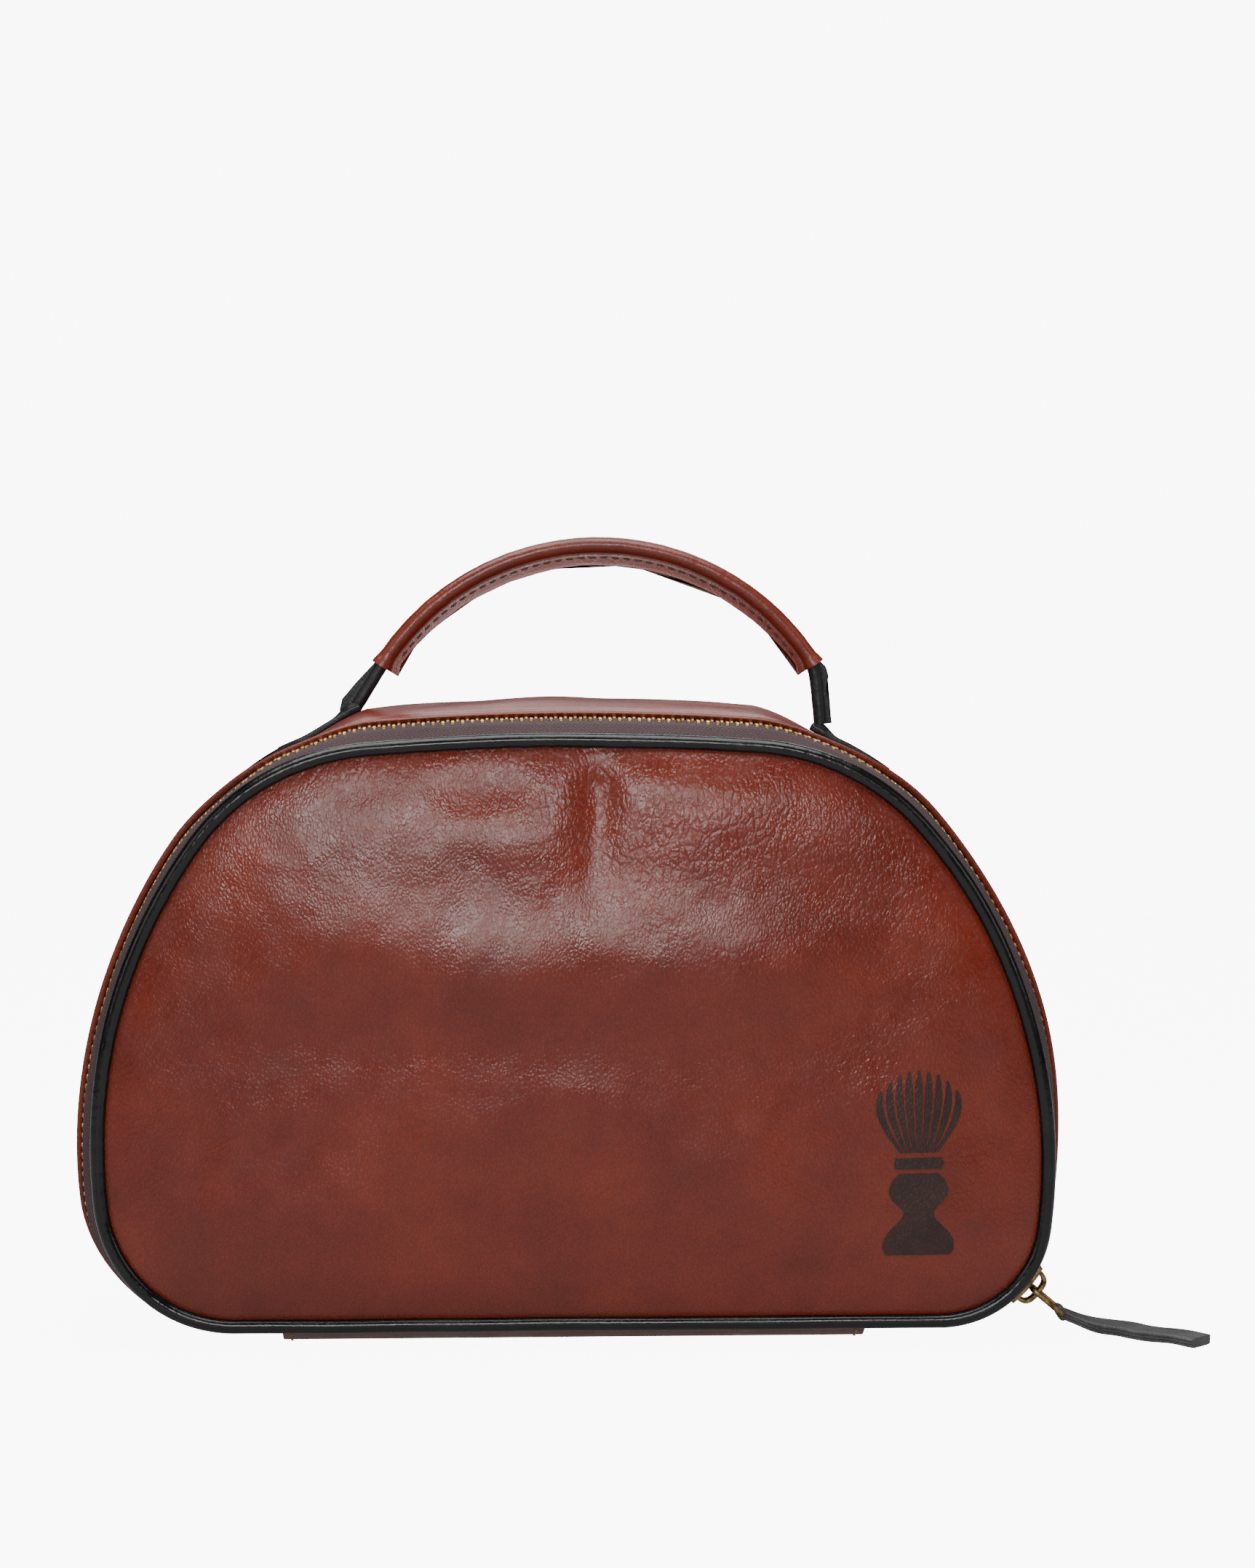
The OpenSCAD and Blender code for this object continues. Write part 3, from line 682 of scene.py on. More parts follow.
def tooth_row(name, side, offset):
    """A row along the whole zip. Side 1 is behind the chain and -1 in front of it."""
    copies = []
    count = int((ZIP_LENGTH - 5) / TOOTH_PITCH)
    slider_s = length_at(-52)
    for i in range(count):
        s = np.array([ZIP_START + 3.4 + offset + i * TOOTH_PITCH])
        x, z, nx, nz, angle = (float(v[0]) for v in outline(s))
        parted = 1.1 * max(0.0, min(1.0, (slider_s + 8 - float(s[0])) / 10))
        u = CHAIN_U + float((zip_lift(np.array([angle])) - zip_hollow(np.array([angle])))[0]) - 0.35
        normal = Vector((nx, 0, nz))
        inward = Vector((0, -side, 0))
        turn = Matrix((inward.cross(normal), inward, normal)).transposed().to_4x4()
        y = CHAIN_Y + side * (TOOTH_L / 2 - 0.15 + parted)
        turn.translation = Vector((x + u * nx, y, z + u * nz)) * MM
        copies.append(placed_copy(tooth, turn))
    return joined(copies, name)


front_teeth = tooth_row("front_teeth", -1, 0)
rear_teeth = tooth_row("rear_teeth", 1, TOOTH_PITCH / 2)
bpy.data.objects.remove(tooth)
dress(front_teeth, tooth_brass, None, "tooth_brass", "front_zip_teeth", "zip_end_teeth")
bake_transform(front_teeth)
dress(rear_teeth, tooth_brass, "bag_body", "tooth_brass", "rear_zip_teeth")

def repaint(node_name, material):
    """Gives a CAD node that stays in view its material."""
    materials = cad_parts[node_name].data.materials
    materials.clear()
    materials.append(material)


# Folded brass stops pinched over the last teeth
repaint("zip_stops", tooth_brass)


# ---------------------------------------------------------------------------------------
# Gusset. A long strip of the same chestnut hide over the top and round both sides, its
# front edge folded under beside the zip. It slumps at the shoulders and creases along the
# top, where the handle pulls on it.
# ---------------------------------------------------------------------------------------

GUSSET_BACK = PIPING_Y - 2.2


def gusset_front(angle):
    """The folded front edge: close behind the teeth, and further back where the slider runs."""
    return CHAIN_Y + eased(angle, (-90, -14, 8, 172, 194, 270), (4.8, 4.8, 2.9, 2.9, 4.8, 4.8))


def gusset_sag(angle):
    """Extra height of the gusset's middle: high at the top, slumped at the shoulders."""
    keys = (-90, -40, 5, 40, 66, 90, 112, 145, 185, 230, 270)
    return eased(angle, keys, (0, -0.8, -1.8, -2.4, -2.6, 2.2, -3.4, -3.6, -3.2, -1.6, 0))


def gusset_height(s, y):
    """Outer face of the gusset over the outline."""
    angle = outline(s)[4]
    front = gusset_front(angle)
    across = (y - front) / (GUSSET_BACK - front)
    middle = np.sin(np.clip(across, 0, 1) * math.pi) ** 0.8
    near_zip = (1 - np.clip(across, 0, 1)) ** 2
    spots = np.stack([s * 0.35, y, 0 * s], axis=-1)
    long_folds = 0.55 * ripple(spots, 9, 8) * eased(angle, (30, 75, 90, 105, 150), (0.3, 1, 1, 1, 0.3))
    soft = 0.45 * ripple(np.stack([s, y, 0 * s], axis=-1), 22, 4)
    bead = 0.5 * np.exp(-((y - front - 0.9) / 0.8) ** 2)
    groove = -0.45 * np.exp(-((y - front - 3.6) / 0.7) ** 2)
    return (crown(y) + near_zip * (zip_lift(angle) * 0.9 - 0.4) + middle * gusset_sag(angle)
            + (long_folds + soft) * middle + bead + groove)


TUCK = 4.5


def tucked(a):
    """Lengths round the outline for a from 0 to 1, with both ends run on above the bottom panel's ends."""
    return ZIP_START - TUCK + a * (ZIP_LENGTH + 2 * TUCK)


def tuck_depth(s):
    """How far the ends are pressed in, to lie on the bottom panel's inner face."""
    from_end = np.minimum(s - ZIP_START, ZIP_STOP - s)
    return 2.2 * np.clip((1.2 - from_end) / 2.4, 0, 1)


def gusset_place(a, b):
    s = tucked(a)
    front = gusset_front(outline(s)[4])
    y = front + (GUSSET_BACK - front) * b
    return in_place(s, y, gusset_height(s, y) - tuck_depth(s))


gusset_hide = leather("waxed_gusset_hide", CHESTNUT, pebble=0.3, bump=0.3, gloss=0.36)
gusset = sheet_piece("gusset", 560, 64, gusset_place, (ZIP_LENGTH, 56))
turn_towards(gusset, lambda p: Vector((p.x, 0, p.z - 0.07)))
thicken(gusset, LEATHER_T, rim=0.45)
dress(gusset, gusset_hide, "bag_body", "chestnut_leather", "gusset_leather")


# ---------------------------------------------------------------------------------------
# Bottom panel. A straight strip of the hide that the bag stands on, sewn to both pipings
# and over the ends of the zip and gusset, with a line of tan thread near each end.
# ---------------------------------------------------------------------------------------

_, panel_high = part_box("bottom_panel")
BOTTOM_HALF = panel_high[0] / MM
FLAT_Y = 24


def bottom_height(y):
    """Height of the strip's underside: flat in the middle and rising to the pipings."""
    beyond = np.clip((np.abs(y) - FLAT_Y) / (PIPING_Y - 2 - FLAT_Y), 0, 1)
    return 5.4 * beyond ** 1.6


def bottom_place(a, b):
    x = (2 * a - 1) * BOTTOM_HALF
    y = (2 * b - 1) * (PIPING_Y - 2.2)
    spots = np.stack([x, y, 0 * x], axis=-1)
    rise = bottom_height(y)
    soft = np.abs(ripple(spots, 20, 12)) * 0.5 * np.clip(rise / 2, 0, 1)
    return np.stack([x, y, rise + soft], axis=-1)


bottom_panel = sheet_piece("bottom_panel", 200, 60, bottom_place, (2 * BOTTOM_HALF, 2 * PIPING_Y))
turn_towards(bottom_panel, lambda p: Vector((0, 0, -1)))
thicken(bottom_panel, LEATHER_T, rim=0.4)
dress(bottom_panel, gusset_hide, "bag_body", "bottom_leather", "bottom_panel")


def thread(name, colour, dark):
    """Waxed polyester sewing thread, with its twist shown at a coarse pitch so that it can be seen."""
    material, tree, shader = finish_material(name)
    place = node(tree, "ShaderNodeTexCoord").outputs["Object"]
    twist = node(tree, "ShaderNodeTexWave", {
        "Vector": place, "Scale": 1 / (2.4 * MM), "Distortion": 2.0}, bands_direction="DIAGONAL")
    # Painted shade: the colour follows the twist's height, as the bump does, darker in the grooves between
    # the strands
    shade = node(tree, "ShaderNodeMix", {
        0: twist.outputs["Fac"], 6: linear(dark), 7: linear(colour)}, data_type="RGBA")
    relief = node(tree, "ShaderNodeBump", {
        "Height": twist.outputs["Fac"], "Strength": 0.5, "Distance": 0.00006})
    tree.links.new(shade.outputs[2], shader.inputs["Base Color"])
    tree.links.new(relief.outputs["Normal"], shader.inputs["Normal"])
    shader.inputs["Roughness"].default_value = 0.6
    return material


def stitches(name, places, length, thick, material, body, slot, *replaced):
    """A row of stitches: each is a flattened bead at a point, lying along a direction with a face normal."""
    deselect_all()
    bpy.ops.mesh.primitive_uv_sphere_add(segments=8, ring_count=6, radius=0.5)
    stitch = bpy.context.object
    stitch.scale = (length * MM, thick * MM, thick * MM)
    bpy.ops.object.transform_apply(scale=True)
    bpy.ops.object.shade_smooth()
    copies = []
    for point, along, normal in places:
        along, normal = Vector(along).normalized(), Vector(normal).normalized()
        across = normal.cross(along).normalized()
        turn = Matrix((along, across, along.cross(across))).transposed().to_4x4()
        turn.translation = Vector(point) * MM
        copies.append(placed_copy(stitch, turn))
    bpy.data.objects.remove(stitch)
    dress(joined(copies, name), material, body, slot, *replaced)


tan_thread = thread("tan_waxed_thread", "#c88f5c", "#8f5a34")
STITCH = 3.0
bottom_rows = []
for end in (-1, 1):
    for edge in (-1, 1):
        for i in range(4):
            y = edge * (FLAT_Y + 2.6 + i * STITCH * 0.85)
            z = float(bottom_height(np.array([y]))[0])
            rise = float(bottom_height(np.array([y + 0.5]))[0]) - z
            bottom_rows.append(((end * (BOTTOM_HALF - 2.4), y, z), (0, 0.5, rise), (0, edge * 0.4, -1)))
stitches("bottom_panel_stitches_thread", bottom_rows, 2.3, 0.75, tan_thread, "bag_body", "tan_thread",
    "bottom_panel_stitches")


# ---------------------------------------------------------------------------------------
# Back panel. The same D as the front, in the same hide, flatter because nothing pulls on
# it, with only a soft slump.
# ---------------------------------------------------------------------------------------

def back_depth(x, z, ring):
    spots = np.stack([x, np.zeros_like(x) + 70, z], axis=-1)
    fade = np.clip((1 - ring) / 0.12, 0, 1)
    soft = 1.1 * ripple(spots, 48, 31) + 0.4 * ripple(spots, 17, 15) + 0.1 * ripple(spots, 6, 2)
    return PIPING_Y - 0.4 + 3.6 * (1 - ring ** 4) + fade * soft


back_panel = sheet_piece("back_panel", 180, 130, flat_panel(PANEL_EDGE, back_depth), (252, 156))
turn_towards(back_panel, lambda p: Vector((0, 1, 0)))
thicken(back_panel, LEATHER_T)
dress(back_panel, chestnut_hide, "bag_body", "chestnut_leather", "back_panel")


# ---------------------------------------------------------------------------------------
# Lining. Tan cotton twill glued inside both panels and the gusset, with an aubergine cloth
# binding folded over the raw edges of the seam behind each piping.
# ---------------------------------------------------------------------------------------

cotton_lining = woven("tan_cotton_lining", "#b39468", "#7d6443", 0.9, bump=0.4)
LINING_INSET = 6.2
LINING_T = 0.6


def lining_panel(name, inner_y, side, body, replaced):
    def depth(x, z, ring):
        spots = np.stack([x, np.zeros_like(x), z], axis=-1)
        return inner_y + side * 1.4 * (1 - ring ** 3) + 0.35 * ripple(spots, 22, 19 + side)
    panel = sheet_piece(name, 90, 64, flat_panel(LINING_INSET, depth), (244, 148))
    turn_towards(panel, lambda p: Vector((0, -side, 0)))
    thicken(panel, LINING_T)
    dress(panel, cotton_lining, body, "lining_cloth", replaced)
    rim = in_place(np.linspace(0, PERIMETER, 800), np.zeros(800), -LINING_INSET * np.ones(800))
    x, z = rim[:, 0], rim[:, 2]
    width, height = np.ptp(x), np.ptp(z)


LINING_Y = PIPING_Y - 2.0
lining_panel("front_lining_cloth", -LINING_Y, -1, "front_cover", "front_lining")
lining_panel("back_lining_cloth", LINING_Y, 1, "bag_body", "back_lining")


GUSSET_LINING_W = PIPING_Y - 4.6 - CHAIN_Y - 14


def gusset_lining_place(a, b):
    s = tucked(a)
    y = CHAIN_Y + 14 + GUSSET_LINING_W * b
    spots = np.stack([s, y, 0 * s], axis=-1)
    under_leather = np.minimum(gusset_height(s, y), crown(y)) - tuck_depth(s) - LEATHER_T
    return in_place(s, y, under_leather - 0.9 + 0.25 * ripple(spots, 14, 17))


gusset_lining = sheet_piece("gusset_lining_cloth", 300, 24, gusset_lining_place, (ZIP_LENGTH, 44))
turn_towards(gusset_lining, lambda p: Vector((-p.x, 0, 0.07 - p.z)))
thicken(gusset_lining, LINING_T)
dress(gusset_lining, cotton_lining, "bag_body", "lining_cloth", "gusset_lining")

binding_cloth = woven("aubergine_binding_tape", "#5d3d43", "#2a1519", 0.8)


def binding(name, side, body, replaced):
    """A folded tape: a flat loop of cloth round the seam allowance."""
    def place(a, b):
        s = a * PERIMETER
        roll = b * 2 * math.pi
        centre_y = side * (PIPING_Y - 3.2)
        puckers = 0.12 * ripple(np.stack([s, 0 * s, 0 * s], axis=-1), 5, 21)
        y = centre_y + (0.8 + puckers) * np.sin(roll)
        return in_place(s, y, -6.3 + 2.0 * np.sign(np.cos(roll)) * np.abs(np.cos(roll)) ** 0.6)
    tape_roll = sheet_piece(name, 420, 16, place, (PERIMETER, 10))
    close_up(tape_roll, fill=False)
    dress(tape_roll, binding_cloth, body, "binding_cloth", replaced)


binding("front_seam_binding_tape", -1, "front_cover", "front_seam_binding")
binding("back_seam_binding_tape", 1, "bag_body", "back_seam_binding")

# Cotton cord inside both pipings and the handle, with the twist of its strands
cotton_cord = thread("twisted_cotton_cord", "#ddd6c6", "#b3ab98")
CORD_R = 1.1


def piping_cord(name, depth, body, replaced):
    def place(a, b):
        roll = b * 2 * math.pi
        return in_place(a * PERIMETER, depth + CORD_R * np.sin(roll), -PIPING_R + CORD_R * np.cos(roll))
    cord = sheet_piece(name, 420, 10, place, (PERIMETER, 2 * math.pi * CORD_R))
    close_up(cord, fill=False)
    dress(cord, cotton_cord, body, "cotton_cord", replaced)


piping_cord("front_cord", -PIPING_Y, "front_cover", "front_piping_cord")
piping_cord("back_cord", PIPING_Y, "bag_body", "back_piping_cord")
repaint("handle_core", cotton_cord)


# ---------------------------------------------------------------------------------------
# Handle. A black strap rolled round a rope, with a chestnut grip rolled round it and sewn
# up in a flange underneath. A leg comes out of each end of the grip and runs down to a
# black tab that is sewn to the gusset and points outwards.
# ---------------------------------------------------------------------------------------

GRIP_R = 69.2
GRIP_X = 7.5
GRIP_Z = 143.2
GRIP_HALF = 58.4
FEET = ((-59.8, 165.9), (68.0, 163.6))
ROLL_R = 2.2
STRAP_R = 1.75
FLANGE = 3.4


def arch(t, half):
    """Points on the grip's arch, t from 0 at its left end to 1 at its right."""
    angle = np.radians(90 + half * (1 - 2 * t))
    return GRIP_X + GRIP_R * np.cos(angle), GRIP_Z + GRIP_R * np.sin(angle)


def along_path(x, z):
    """Outward normals, to the left of the way that the path runs, in the plane of the handle."""
    dx, dz = np.gradient(x), np.gradient(z)
    length = np.hypot(dx, dz)
    return -dz / length, dx / length


def swept(name, x, z, profile, across, width):
    """Sweeps profile(t, b), giving the height outwards and the depth, along a path in the plane y = 0."""
    nx, nz = along_path(x, z)
    t_path = np.linspace(0, 1, len(x))

    def place(a, b):
        out, depth = profile(a, b)
        here = [np.interp(a, t_path, v) for v in (x, z, nx, nz)]
        return np.stack([here[0] + out * here[2], depth, here[1] + out * here[3]], axis=-1)
    piece = sheet_piece(name, len(x) - 1, across, place, (width, 16))
    close_up(piece)
    return piece


def rolled(b, radius, flange, thick, side):
    """A round roll with a flat flange on one side, 1 outwards or -1 inwards. b runs once round it."""
    gap = 0.42
    turn = (b - 0.5) * 2
    round_part = np.abs(turn) <= 0.72
    angle = turn / 0.72 * (math.pi - gap)
    lip = np.clip((np.abs(turn) - 0.72) / 0.28, 0, 1)
    start = radius * math.cos(math.pi - gap)
    reach = np.interp(lip, [0, 0.75, 1], [0, 1, 1.06])
    neck = radius * math.sin(gap) * np.clip(1 - lip / 0.12, 0, 1)
    half = neck + np.interp(lip, [0, 0.12, 0.75, 0.92, 1], [0, thick / 2, thick / 2, thick / 3, 0])
    out = np.where(round_part, radius * np.cos(angle), start - reach * flange)
    depth = np.where(round_part, radius * np.sin(angle), np.sign(turn) * half)
    return -side * out, depth


grip_t = np.linspace(0, 1, 420)
grip_x, grip_z = arch(grip_t, GRIP_HALF - 0.3)
GRIP_LENGTH = math.radians(2 * GRIP_HALF) * GRIP_R


def grip_profile(t, b):
    from_end = np.minimum(t, 1 - t) * GRIP_LENGTH
    collar = np.exp(-(from_end / 2.2) ** 2)
    spots = np.stack([t * GRIP_LENGTH, b * 14, 0 * b], axis=-1)
    creases = 0.03 * ripple(spots, 3.2, 7) + 0.02 * ripple(spots * np.array([1, 0.2, 1]), 1.2, 3)
    radius = ROLL_R * (1 + 0.3 * collar + creases)
    waves = 0.2 * ripple(spots * np.array([1, 0, 0]), 9, 2)
    flange = FLANGE * (0.5 + 0.5 * np.sin(math.pi * t) ** 0.6 + 0.25 * collar) + waves
    out, depth = rolled(b, radius, flange, 1.5, -1)
    lean = np.clip(-out - ROLL_R, 0, 9) * 0.24
    return out, depth - lean


grip_hide = leather("rolled_chestnut_hide", CHESTNUT, grain=0.7, gloss=0.34, bump=0.22, coat=0.2)
grip = swept("grip", grip_x, grip_z, grip_profile, 64, GRIP_LENGTH)
dress(grip, grip_hide, "handle", "grip_leather", "grip_sleeve")

# The strap: foot, leg, arch inside the grip, leg, foot
leg_left = np.linspace(FEET[0], arch(0, GRIP_HALF), 60)
leg_right = np.linspace(arch(1, GRIP_HALF), FEET[1], 60)
arch_x, arch_z = arch(np.linspace(0, 1, 240), GRIP_HALF)
path = np.concatenate([leg_left, np.stack([arch_x, arch_z], axis=-1)[1:-1], leg_right])
steps = np.concatenate([[0], np.cumsum(np.hypot(*np.diff(path, axis=0).T))])
STRAP_LENGTH = steps[-1]
even = np.linspace(0, STRAP_LENGTH, 500)
strap_x, strap_z = np.interp(even, steps, path[:, 0]), np.interp(even, steps, path[:, 1])
for _ in range(60):
    strap_x[1:-1] = (strap_x[:-2] + strap_x[2:]) / 2
    strap_z[1:-1] = (strap_z[:-2] + strap_z[2:]) / 2


def strap_profile(t, b):
    from_left, from_right = t * STRAP_LENGTH, (1 - t) * STRAP_LENGTH
    spots = np.stack([from_left, b * 11, 0 * b], axis=-1)
    radius = STRAP_R * (1 + 0.05 * ripple(spots, 2.6, 5) + 0.02 * ripple(spots, 1.1, 6))
    flap = (np.interp(from_left, [0, 3, 8, 13, 16], [1.6, 2.6, 1.9, 1.0, 0.4])
            + np.interp(from_right, [0, 2.5, 6, 9, 12.5, 15, 17], [1.4, 1.2, 0.5, 0.6, 1.7, 1.5, 0.3]))
    return rolled(b, radius, flap - 0.3, 1.3, 1)


strap_hide = leather(
    "black_strap_leather", ("#0e0d0f", "#151416", "#201f21"), grain=1.0, gloss=0.40, bump=0.22, coat=0.0,
    patches=10)
strap = swept("strap", strap_x, strap_z, strap_profile, 48, STRAP_LENGTH)
dress(strap, strap_hide, "handle", "strap_leather", "handle_strap")

# Dark thread through the grip's flange, close under the roll
dark_thread = thread("dark_waxed_thread", "#3a2018", "#1a0c08")
grip_rows = []
GRIP_STITCHES = 40
for i in range(GRIP_STITCHES):
    t = np.array([0.05 + 0.9 * i / (GRIP_STITCHES - 1)])
    x, z = (float(v[0]) for v in arch(t, GRIP_HALF))
    out = Vector((x - GRIP_X, 0, z - GRIP_Z)).normalized()
    along = Vector((0, 1, 0)).cross(out)
    for side in (-1, 1):
        place_y = side * 0.78 - 0.24 * 1.1
        grip_rows.append((Vector((x, place_y, z)) - out * (ROLL_R + 1.1), along, Vector((0, side, 0))))
stitches("grip_thread", grip_rows, 2.2, 0.6, dark_thread, "handle", "dark_thread", "grip_stitches")

TAB_LENGTH = 23
TAB_T = 1.5
TAB_RISE = 1.7


def handle_tab(name, foot_x, replaced):
    """A tapered tab on the gusset, from under the foot outwards and down."""
    way = math.copysign(1, foot_x)
    scan = np.linspace(length_at(10), length_at(170), 4000)
    start = float(scan[np.argmin(np.abs(outline(scan)[0] - foot_x + way * 3.4))])

    def place(a, b):
        s = start - way * a * TAB_LENGTH
        half = np.interp(a, [0, 0.12, 0.75, 1], [3.2, 4.4, 4.0, 2.8])
        y = (2 * b - 1) * half
        rise = TAB_RISE * np.exp(-((a * TAB_LENGTH - 2.6) / 3.0) ** 2) * np.cos((2 * b - 1) * 1.5) ** 2
        return in_place(s, y, gusset_height(s, y) + TAB_T + rise + 0.15)
    tab = sheet_piece(name, 60, 24, place, (TAB_LENGTH, 9))
    turn_towards(tab, lambda p: Vector((p.x, 0, p.z - 0.07)))
    thicken(tab, TAB_T, rim=0.35)
    dress(tab, strap_hide, "bag_body", "strap_leather", replaced)


handle_tab("left_handle_tab", FEET[0][0], "handle_tab_left")
handle_tab("right_handle_tab", FEET[1][0], "handle_tab_right")


# ---------------------------------------------------------------------------------------
# Slider and pull. A die-cast slider in antique brass with an open bridge, a brass wire
# link through the bridge, and a pull cut from two layers of black leather glued together
# and folded round the link.
# ---------------------------------------------------------------------------------------

antique_brass = cast_brass("antique_die_cast_brass", "#a88a5c", "#54402a", 0.42, 1.6)


def softened(node_name, name, width, body):
    """A cast copy of a CAD node, its edges rounded."""
    deselect_all()
    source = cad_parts[node_name]
    piece = source.copy()
    piece.data = source.data.copy()
    piece.name = piece.data.name = name
    bpy.context.collection.objects.link(piece)
    piece.parent = None
    piece.matrix_world = Matrix()
    only(piece)
    bpy.ops.object.mode_set(mode="EDIT")
    bpy.ops.mesh.select_all(action="SELECT")
    bpy.ops.mesh.remove_doubles(threshold=1e-6)
    bpy.ops.mesh.dissolve_limited(angle_limit=math.radians(1))
    bpy.ops.object.mode_set(mode="OBJECT")
    modify(piece, "BEVEL", width=width * MM, segments=2, limit_method="ANGLE", angle_limit=math.radians(40))
    bpy.ops.object.shade_smooth_by_angle(angle=math.radians(40))
    dress(piece, antique_brass, body, "antique_brass", node_name)
    return piece


softened("slider_body", "slider_plates", 0.3, "zip_slider")

# The bridge: a flat bar bent into an arch over the link, along the slider's travel
SLIDER_ANGLE = math.radians(-40)
BRIDGE_HALF = 4.5
BRIDGE_FOOT = 2.3
BRIDGE_H = 4.0
bridge_turn = np.linspace(0, math.pi, 60)
bridge_v = -BRIDGE_HALF * np.sign(np.cos(bridge_turn)) * np.abs(np.cos(bridge_turn)) ** 0.62
bridge_u = RIGHT_CORNER_R + BRIDGE_FOOT + BRIDGE_H * np.sin(bridge_turn) ** 0.62
bridge_x = RIGHT_STRAIGHT + bridge_u * math.cos(SLIDER_ANGLE) - bridge_v * math.sin(SLIDER_ANGLE)
bridge_z = (BOTTOM + RIGHT_CORNER_R + bridge_u * math.sin(SLIDER_ANGLE)
            + bridge_v * math.cos(SLIDER_ANGLE))


def bridge_profile(t, b):
    turn = b * 2 * math.pi
    thick = 0.62 + 0.12 * np.sin(math.pi * t)
    out = thick * np.sign(np.cos(turn)) * np.abs(np.cos(turn)) ** 0.5
    return out, CHAIN_Y + 1.55 * np.sign(np.sin(turn)) * np.abs(np.sin(turn)) ** 0.5


bridge = swept("slider_bridge", bridge_x, bridge_z, bridge_profile, 28, 14)
dress(bridge, antique_brass, "zip_slider", "antique_brass", "slider_crown")

PIVOT = np.array([123.654, CHAIN_Y, 12.674])
FAR_BAR = np.array([132.081, CHAIN_Y, 5.603])
LINK_HALF = 4.4
WIRE_R = 0.75
link_way = (FAR_BAR - PIVOT) / np.linalg.norm(FAR_BAR - PIVOT)
LINK_L = float(np.linalg.norm(FAR_BAR - PIVOT))


def link_place(a, b):
    """A round wire bent into a rounded oblong."""
    half_l, half_w = LINK_L / 2, LINK_HALF
    turn = a * 2 * math.pi
    sharp = 0.42
    u = half_l * np.sign(np.cos(turn)) * np.abs(np.cos(turn)) ** sharp
    v = half_w * np.sign(np.sin(turn)) * np.abs(np.sin(turn)) ** sharp
    length = np.hypot(u / half_l, v / half_w)
    inward_u, inward_v = -u / half_l / length, -v / half_w / length
    roll = b * 2 * math.pi
    middle = (PIVOT + FAR_BAR) / 2
    up = np.cross(link_way, (0, 1, 0))
    flat_u = u + WIRE_R * np.cos(roll) * inward_u
    flat_v = v + WIRE_R * np.cos(roll) * inward_v
    return (middle + flat_u[:, None] * link_way + flat_v[:, None] * np.array([0, 1, 0])
            + (WIRE_R * np.sin(roll))[:, None] * up)


link = sheet_piece("wire_link", 96, 12, link_place, (31, 4.7))
close_up(link, fill=False)
dress(link, antique_brass, "pull_loop", "antique_brass", "pull_loop")

PULL_L = 45
PULL_W = 9.6
PULL_T = 2.7
pull_t = np.linspace(0, 1, 200)
pull_yaw = np.radians(eased(pull_t, (0, 0.1, 0.55, 1), (0, 4, 38, 42)))
pull_drop = np.radians(eased(pull_t, (0, 0.1, 0.42, 1), (38, 34, 2, 0)))
step = PULL_L / (len(pull_t) - 1)
pull_x = FAR_BAR[0] - 1.9 + np.concatenate([[0], np.cumsum(np.cos(pull_drop) * np.cos(pull_yaw) * step)[:-1]])
pull_y = CHAIN_Y - np.concatenate([[0], np.cumsum(np.cos(pull_drop) * np.sin(pull_yaw) * step)[:-1]])
pull_z = np.concatenate([[0], -np.cumsum(np.sin(pull_drop) * step)[:-1]])
pull_z = 1.6 + (FAR_BAR[2] + 0.9 - 1.6) * (pull_z - pull_z[-1]) / (pull_z[0] - pull_z[-1])


def pull_place(a, b):
    """An oblong section with the joints between its layers sunk into its edges."""
    x, y, z, yaw = (np.interp(a, pull_t, v) for v in (pull_x, pull_y, pull_z, pull_yaw))
    from_start = a * PULL_L
    half_w = np.interp(from_start, [0, 3, 8, 16, PULL_L - 1.5, PULL_L],
        [2.9, 3.1, 3.3, PULL_W / 2, PULL_W / 2, PULL_W / 2 - 0.3])
    eye = np.sqrt(np.clip(1 - ((from_start - 1.9) / 1.95) ** 2, 0, 1)) * 1.95
    half_t = np.maximum(eye, np.where(from_start > 1.9,
        PULL_T / 2 * np.clip((PULL_L + 0.6 - from_start) / 0.6, 0.6, 1), 0.15))
    turn = b * 2 * math.pi
    across = np.sign(np.cos(turn)) * np.abs(np.cos(turn)) ** 0.22
    up = np.sign(np.sin(turn)) * np.abs(np.sin(turn)) ** 0.45
    seam = np.exp(-((up - 0.30) / 0.10) ** 2) + np.exp(-((up + 0.36) / 0.10) ** 2)
    spots = np.stack([from_start, across * 4, up], axis=-1)
    half_w = half_w - 0.28 * seam * (np.abs(across) > 0.8) + 0.12 * ripple(spots, 3, 8)
    side = across * half_w
    lift = up * (half_t + 0.10 * ripple(spots, 5, 3)) + 0.35 * ripple(spots * np.array([1, 0.4, 0]), 11, 13)
    return np.stack([x + side * np.sin(yaw), y + side * np.cos(yaw), np.maximum(z + lift, 0.15)], axis=-1)


pull_hide = leather(
    "worn_black_pull_leather", ("#2c2b2d", "#3a393b", "#4b4a4b"), grain=0.9, gloss=0.5, bump=0.55, coat=0.1,
    patches=12)
pull = sheet_piece("pull", 240, 72, pull_place, (PULL_L, 24))
close_up(pull)
dress(pull, pull_hide, "pull_tab", "pull_leather", "pull_tab")


# ---------------------------------------------------------------------------------------
# Stamp. A plain shaving brush pressed into the front panel with a hot die, which leaves
# the leather dark and a little duller.
# ---------------------------------------------------------------------------------------

STAMP_X = 91
STAMP_Z = 51
stamped_leather = leather(
    "hot_stamped_leather", ("#22100c", "#2b1510", "#331a14"), grain=0.9, gloss=0.5, bump=0.5, coat=0.0,
    patches=8)

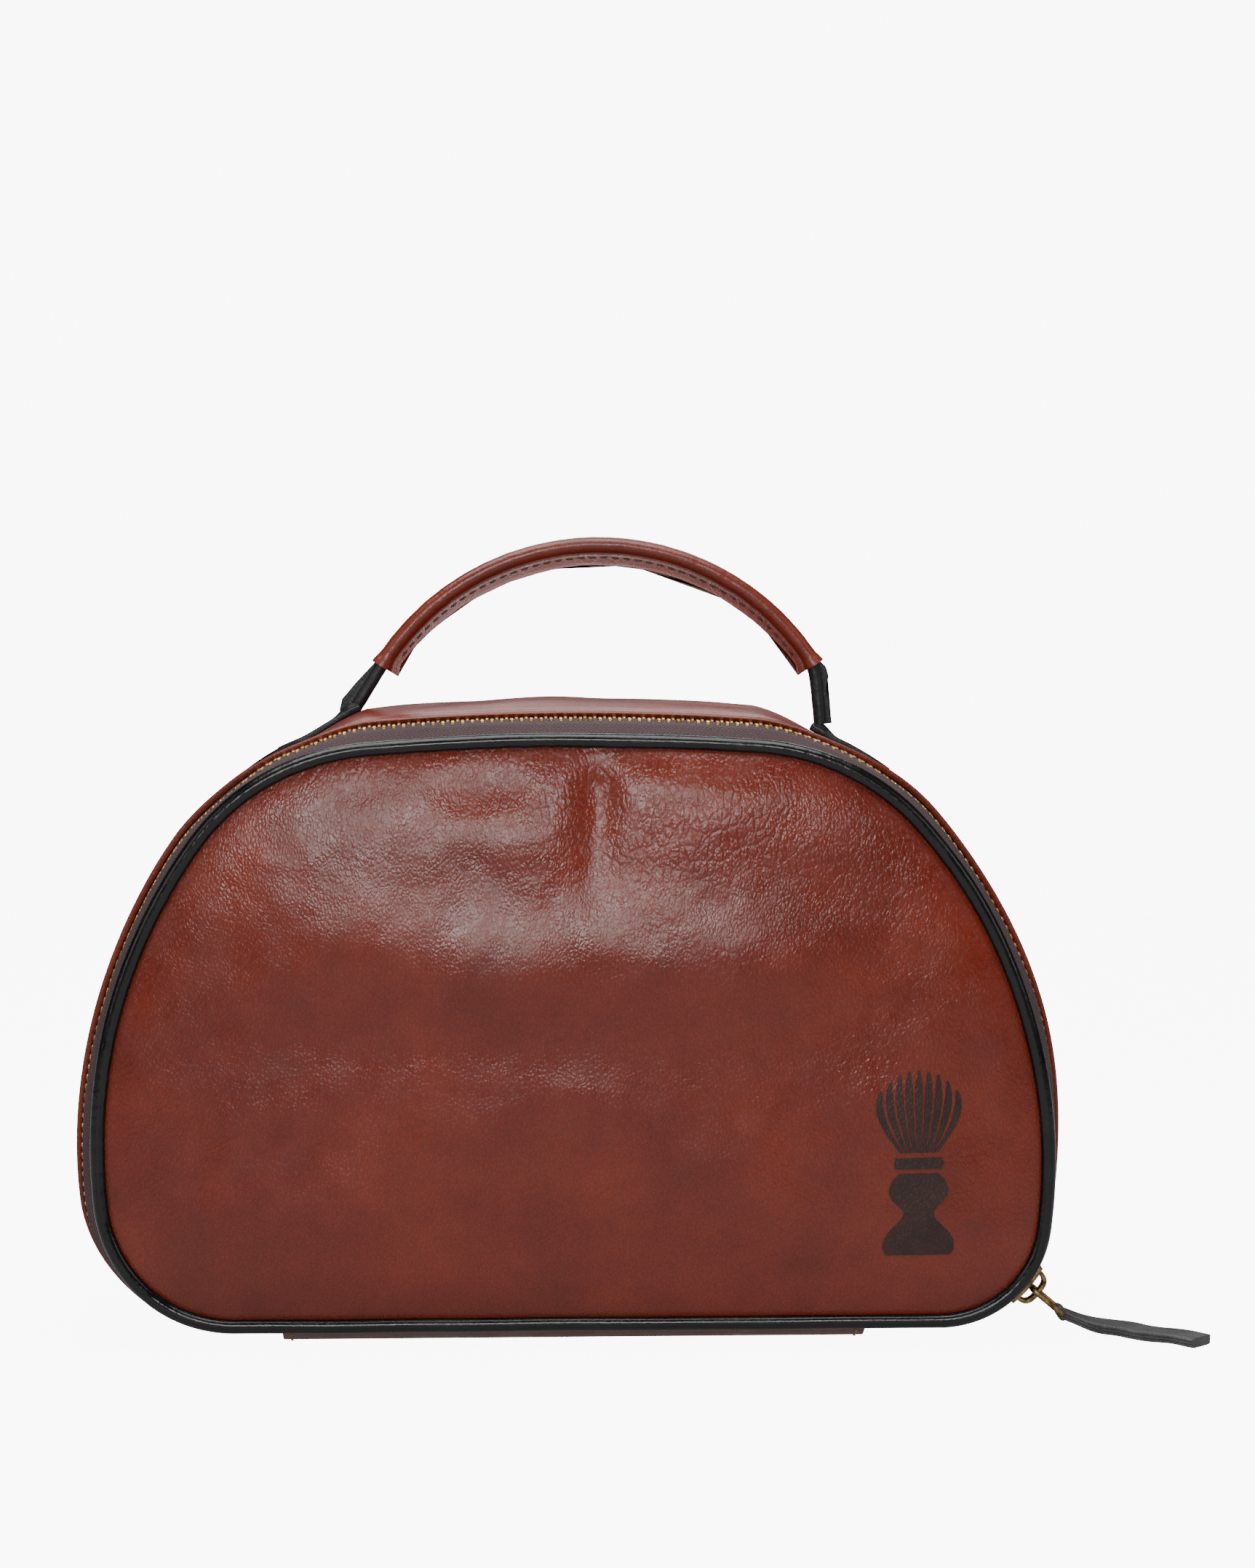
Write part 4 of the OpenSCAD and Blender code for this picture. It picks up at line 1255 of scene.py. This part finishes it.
# Outlines of the brush as heights from its middle and half widths: bristles, collar and turned handle
BRISTLE_LIMITS = ((2.0, 5.2), (24.0, 11.5))
BRISTLES = 9
TURNED_PARTS = (
    ((0.6, 6.2), (-0.8, 6.8), (-2.4, 6.2)),
    ((-3.6, 5.2), (-5.5, 7.2), (-8.5, 8.2), (-11.0, 7.0), (-13.0, 4.4), (-14.6, 3.9),
     (-16.4, 5.0), (-19.4, 8.2), (-22.0, 9.6), (-24.4, 9.6), (-25.6, 8.6)),
)


def stamped(name, left, right, heights):
    """A film on the panel between two edges, given as x at each height."""
    def place(a, b):
        z = STAMP_Z + np.interp(b, np.linspace(0, 1, len(heights)), heights)
        x0 = np.interp(b, np.linspace(0, 1, len(heights)), left)
        x1 = np.interp(b, np.linspace(0, 1, len(heights)), right)
        x = STAMP_X + x0 + (x1 - x0) * a
        y = []
        for px, pz in zip(x, z):
            _, where, _, _ = front_panel.ray_cast(Vector((px, -80, pz)) * MM, Vector((0, 1, 0)))
            y.append(where.y / MM - 0.16)
        return np.stack([x, np.array(y), z], axis=-1)
    across = max(4, int(max(np.array(right) - np.array(left)) / 0.8))
    film = sheet_piece(name, across, int((max(heights) - min(heights)) / 0.6), place, (20, 20))
    turn_towards(film, lambda p: Vector((0, -1, 0)))
    thicken(film, 0.2)
    return film


films = []
for i in range(BRISTLES):
    low = [(2 * (i + side) / BRISTLES - 1) * BRISTLE_LIMITS[0][1] for side in (0.06, 0.94)]
    high = [(2 * (i + side) / BRISTLES - 1) * BRISTLE_LIMITS[1][1] for side in (0.10, 0.90)]
    lean = (i - (BRISTLES - 1) / 2) / BRISTLES
    tip = BRISTLE_LIMITS[1][0] - 7 * lean ** 2 * 4
    shape = np.linspace(0, 1, 9)
    swell = np.sin(shape * math.pi * 0.62) / math.sin(math.pi * 0.62)
    heights = BRISTLE_LIMITS[0][0] + (tip - BRISTLE_LIMITS[0][0]) * shape
    close_in = np.array([1, 1, 1, 1, 1, 1, 0.92, 0.7, 0.25])
    left = low[0] + (high[0] - low[0]) * swell
    right = low[1] + (high[1] - low[1]) * swell
    centre, half = (left + right) / 2, (right - left) / 2 * close_in
    films.append(stamped("bristle", centre - half, centre + half, heights))
for part in TURNED_PARTS:
    heights = np.array([p[0] for p in part])
    half = np.array([p[1] for p in part])
    even_heights = np.linspace(heights[0], heights[-1], 24)
    smooth_half = np.interp(even_heights[::-1], heights[::-1], half[::-1])[::-1]
    films.append(stamped("turned", -smooth_half, smooth_half, even_heights))
dress(joined(films, "brush_stamp"), stamped_leather, "front_cover", "chestnut_leather")
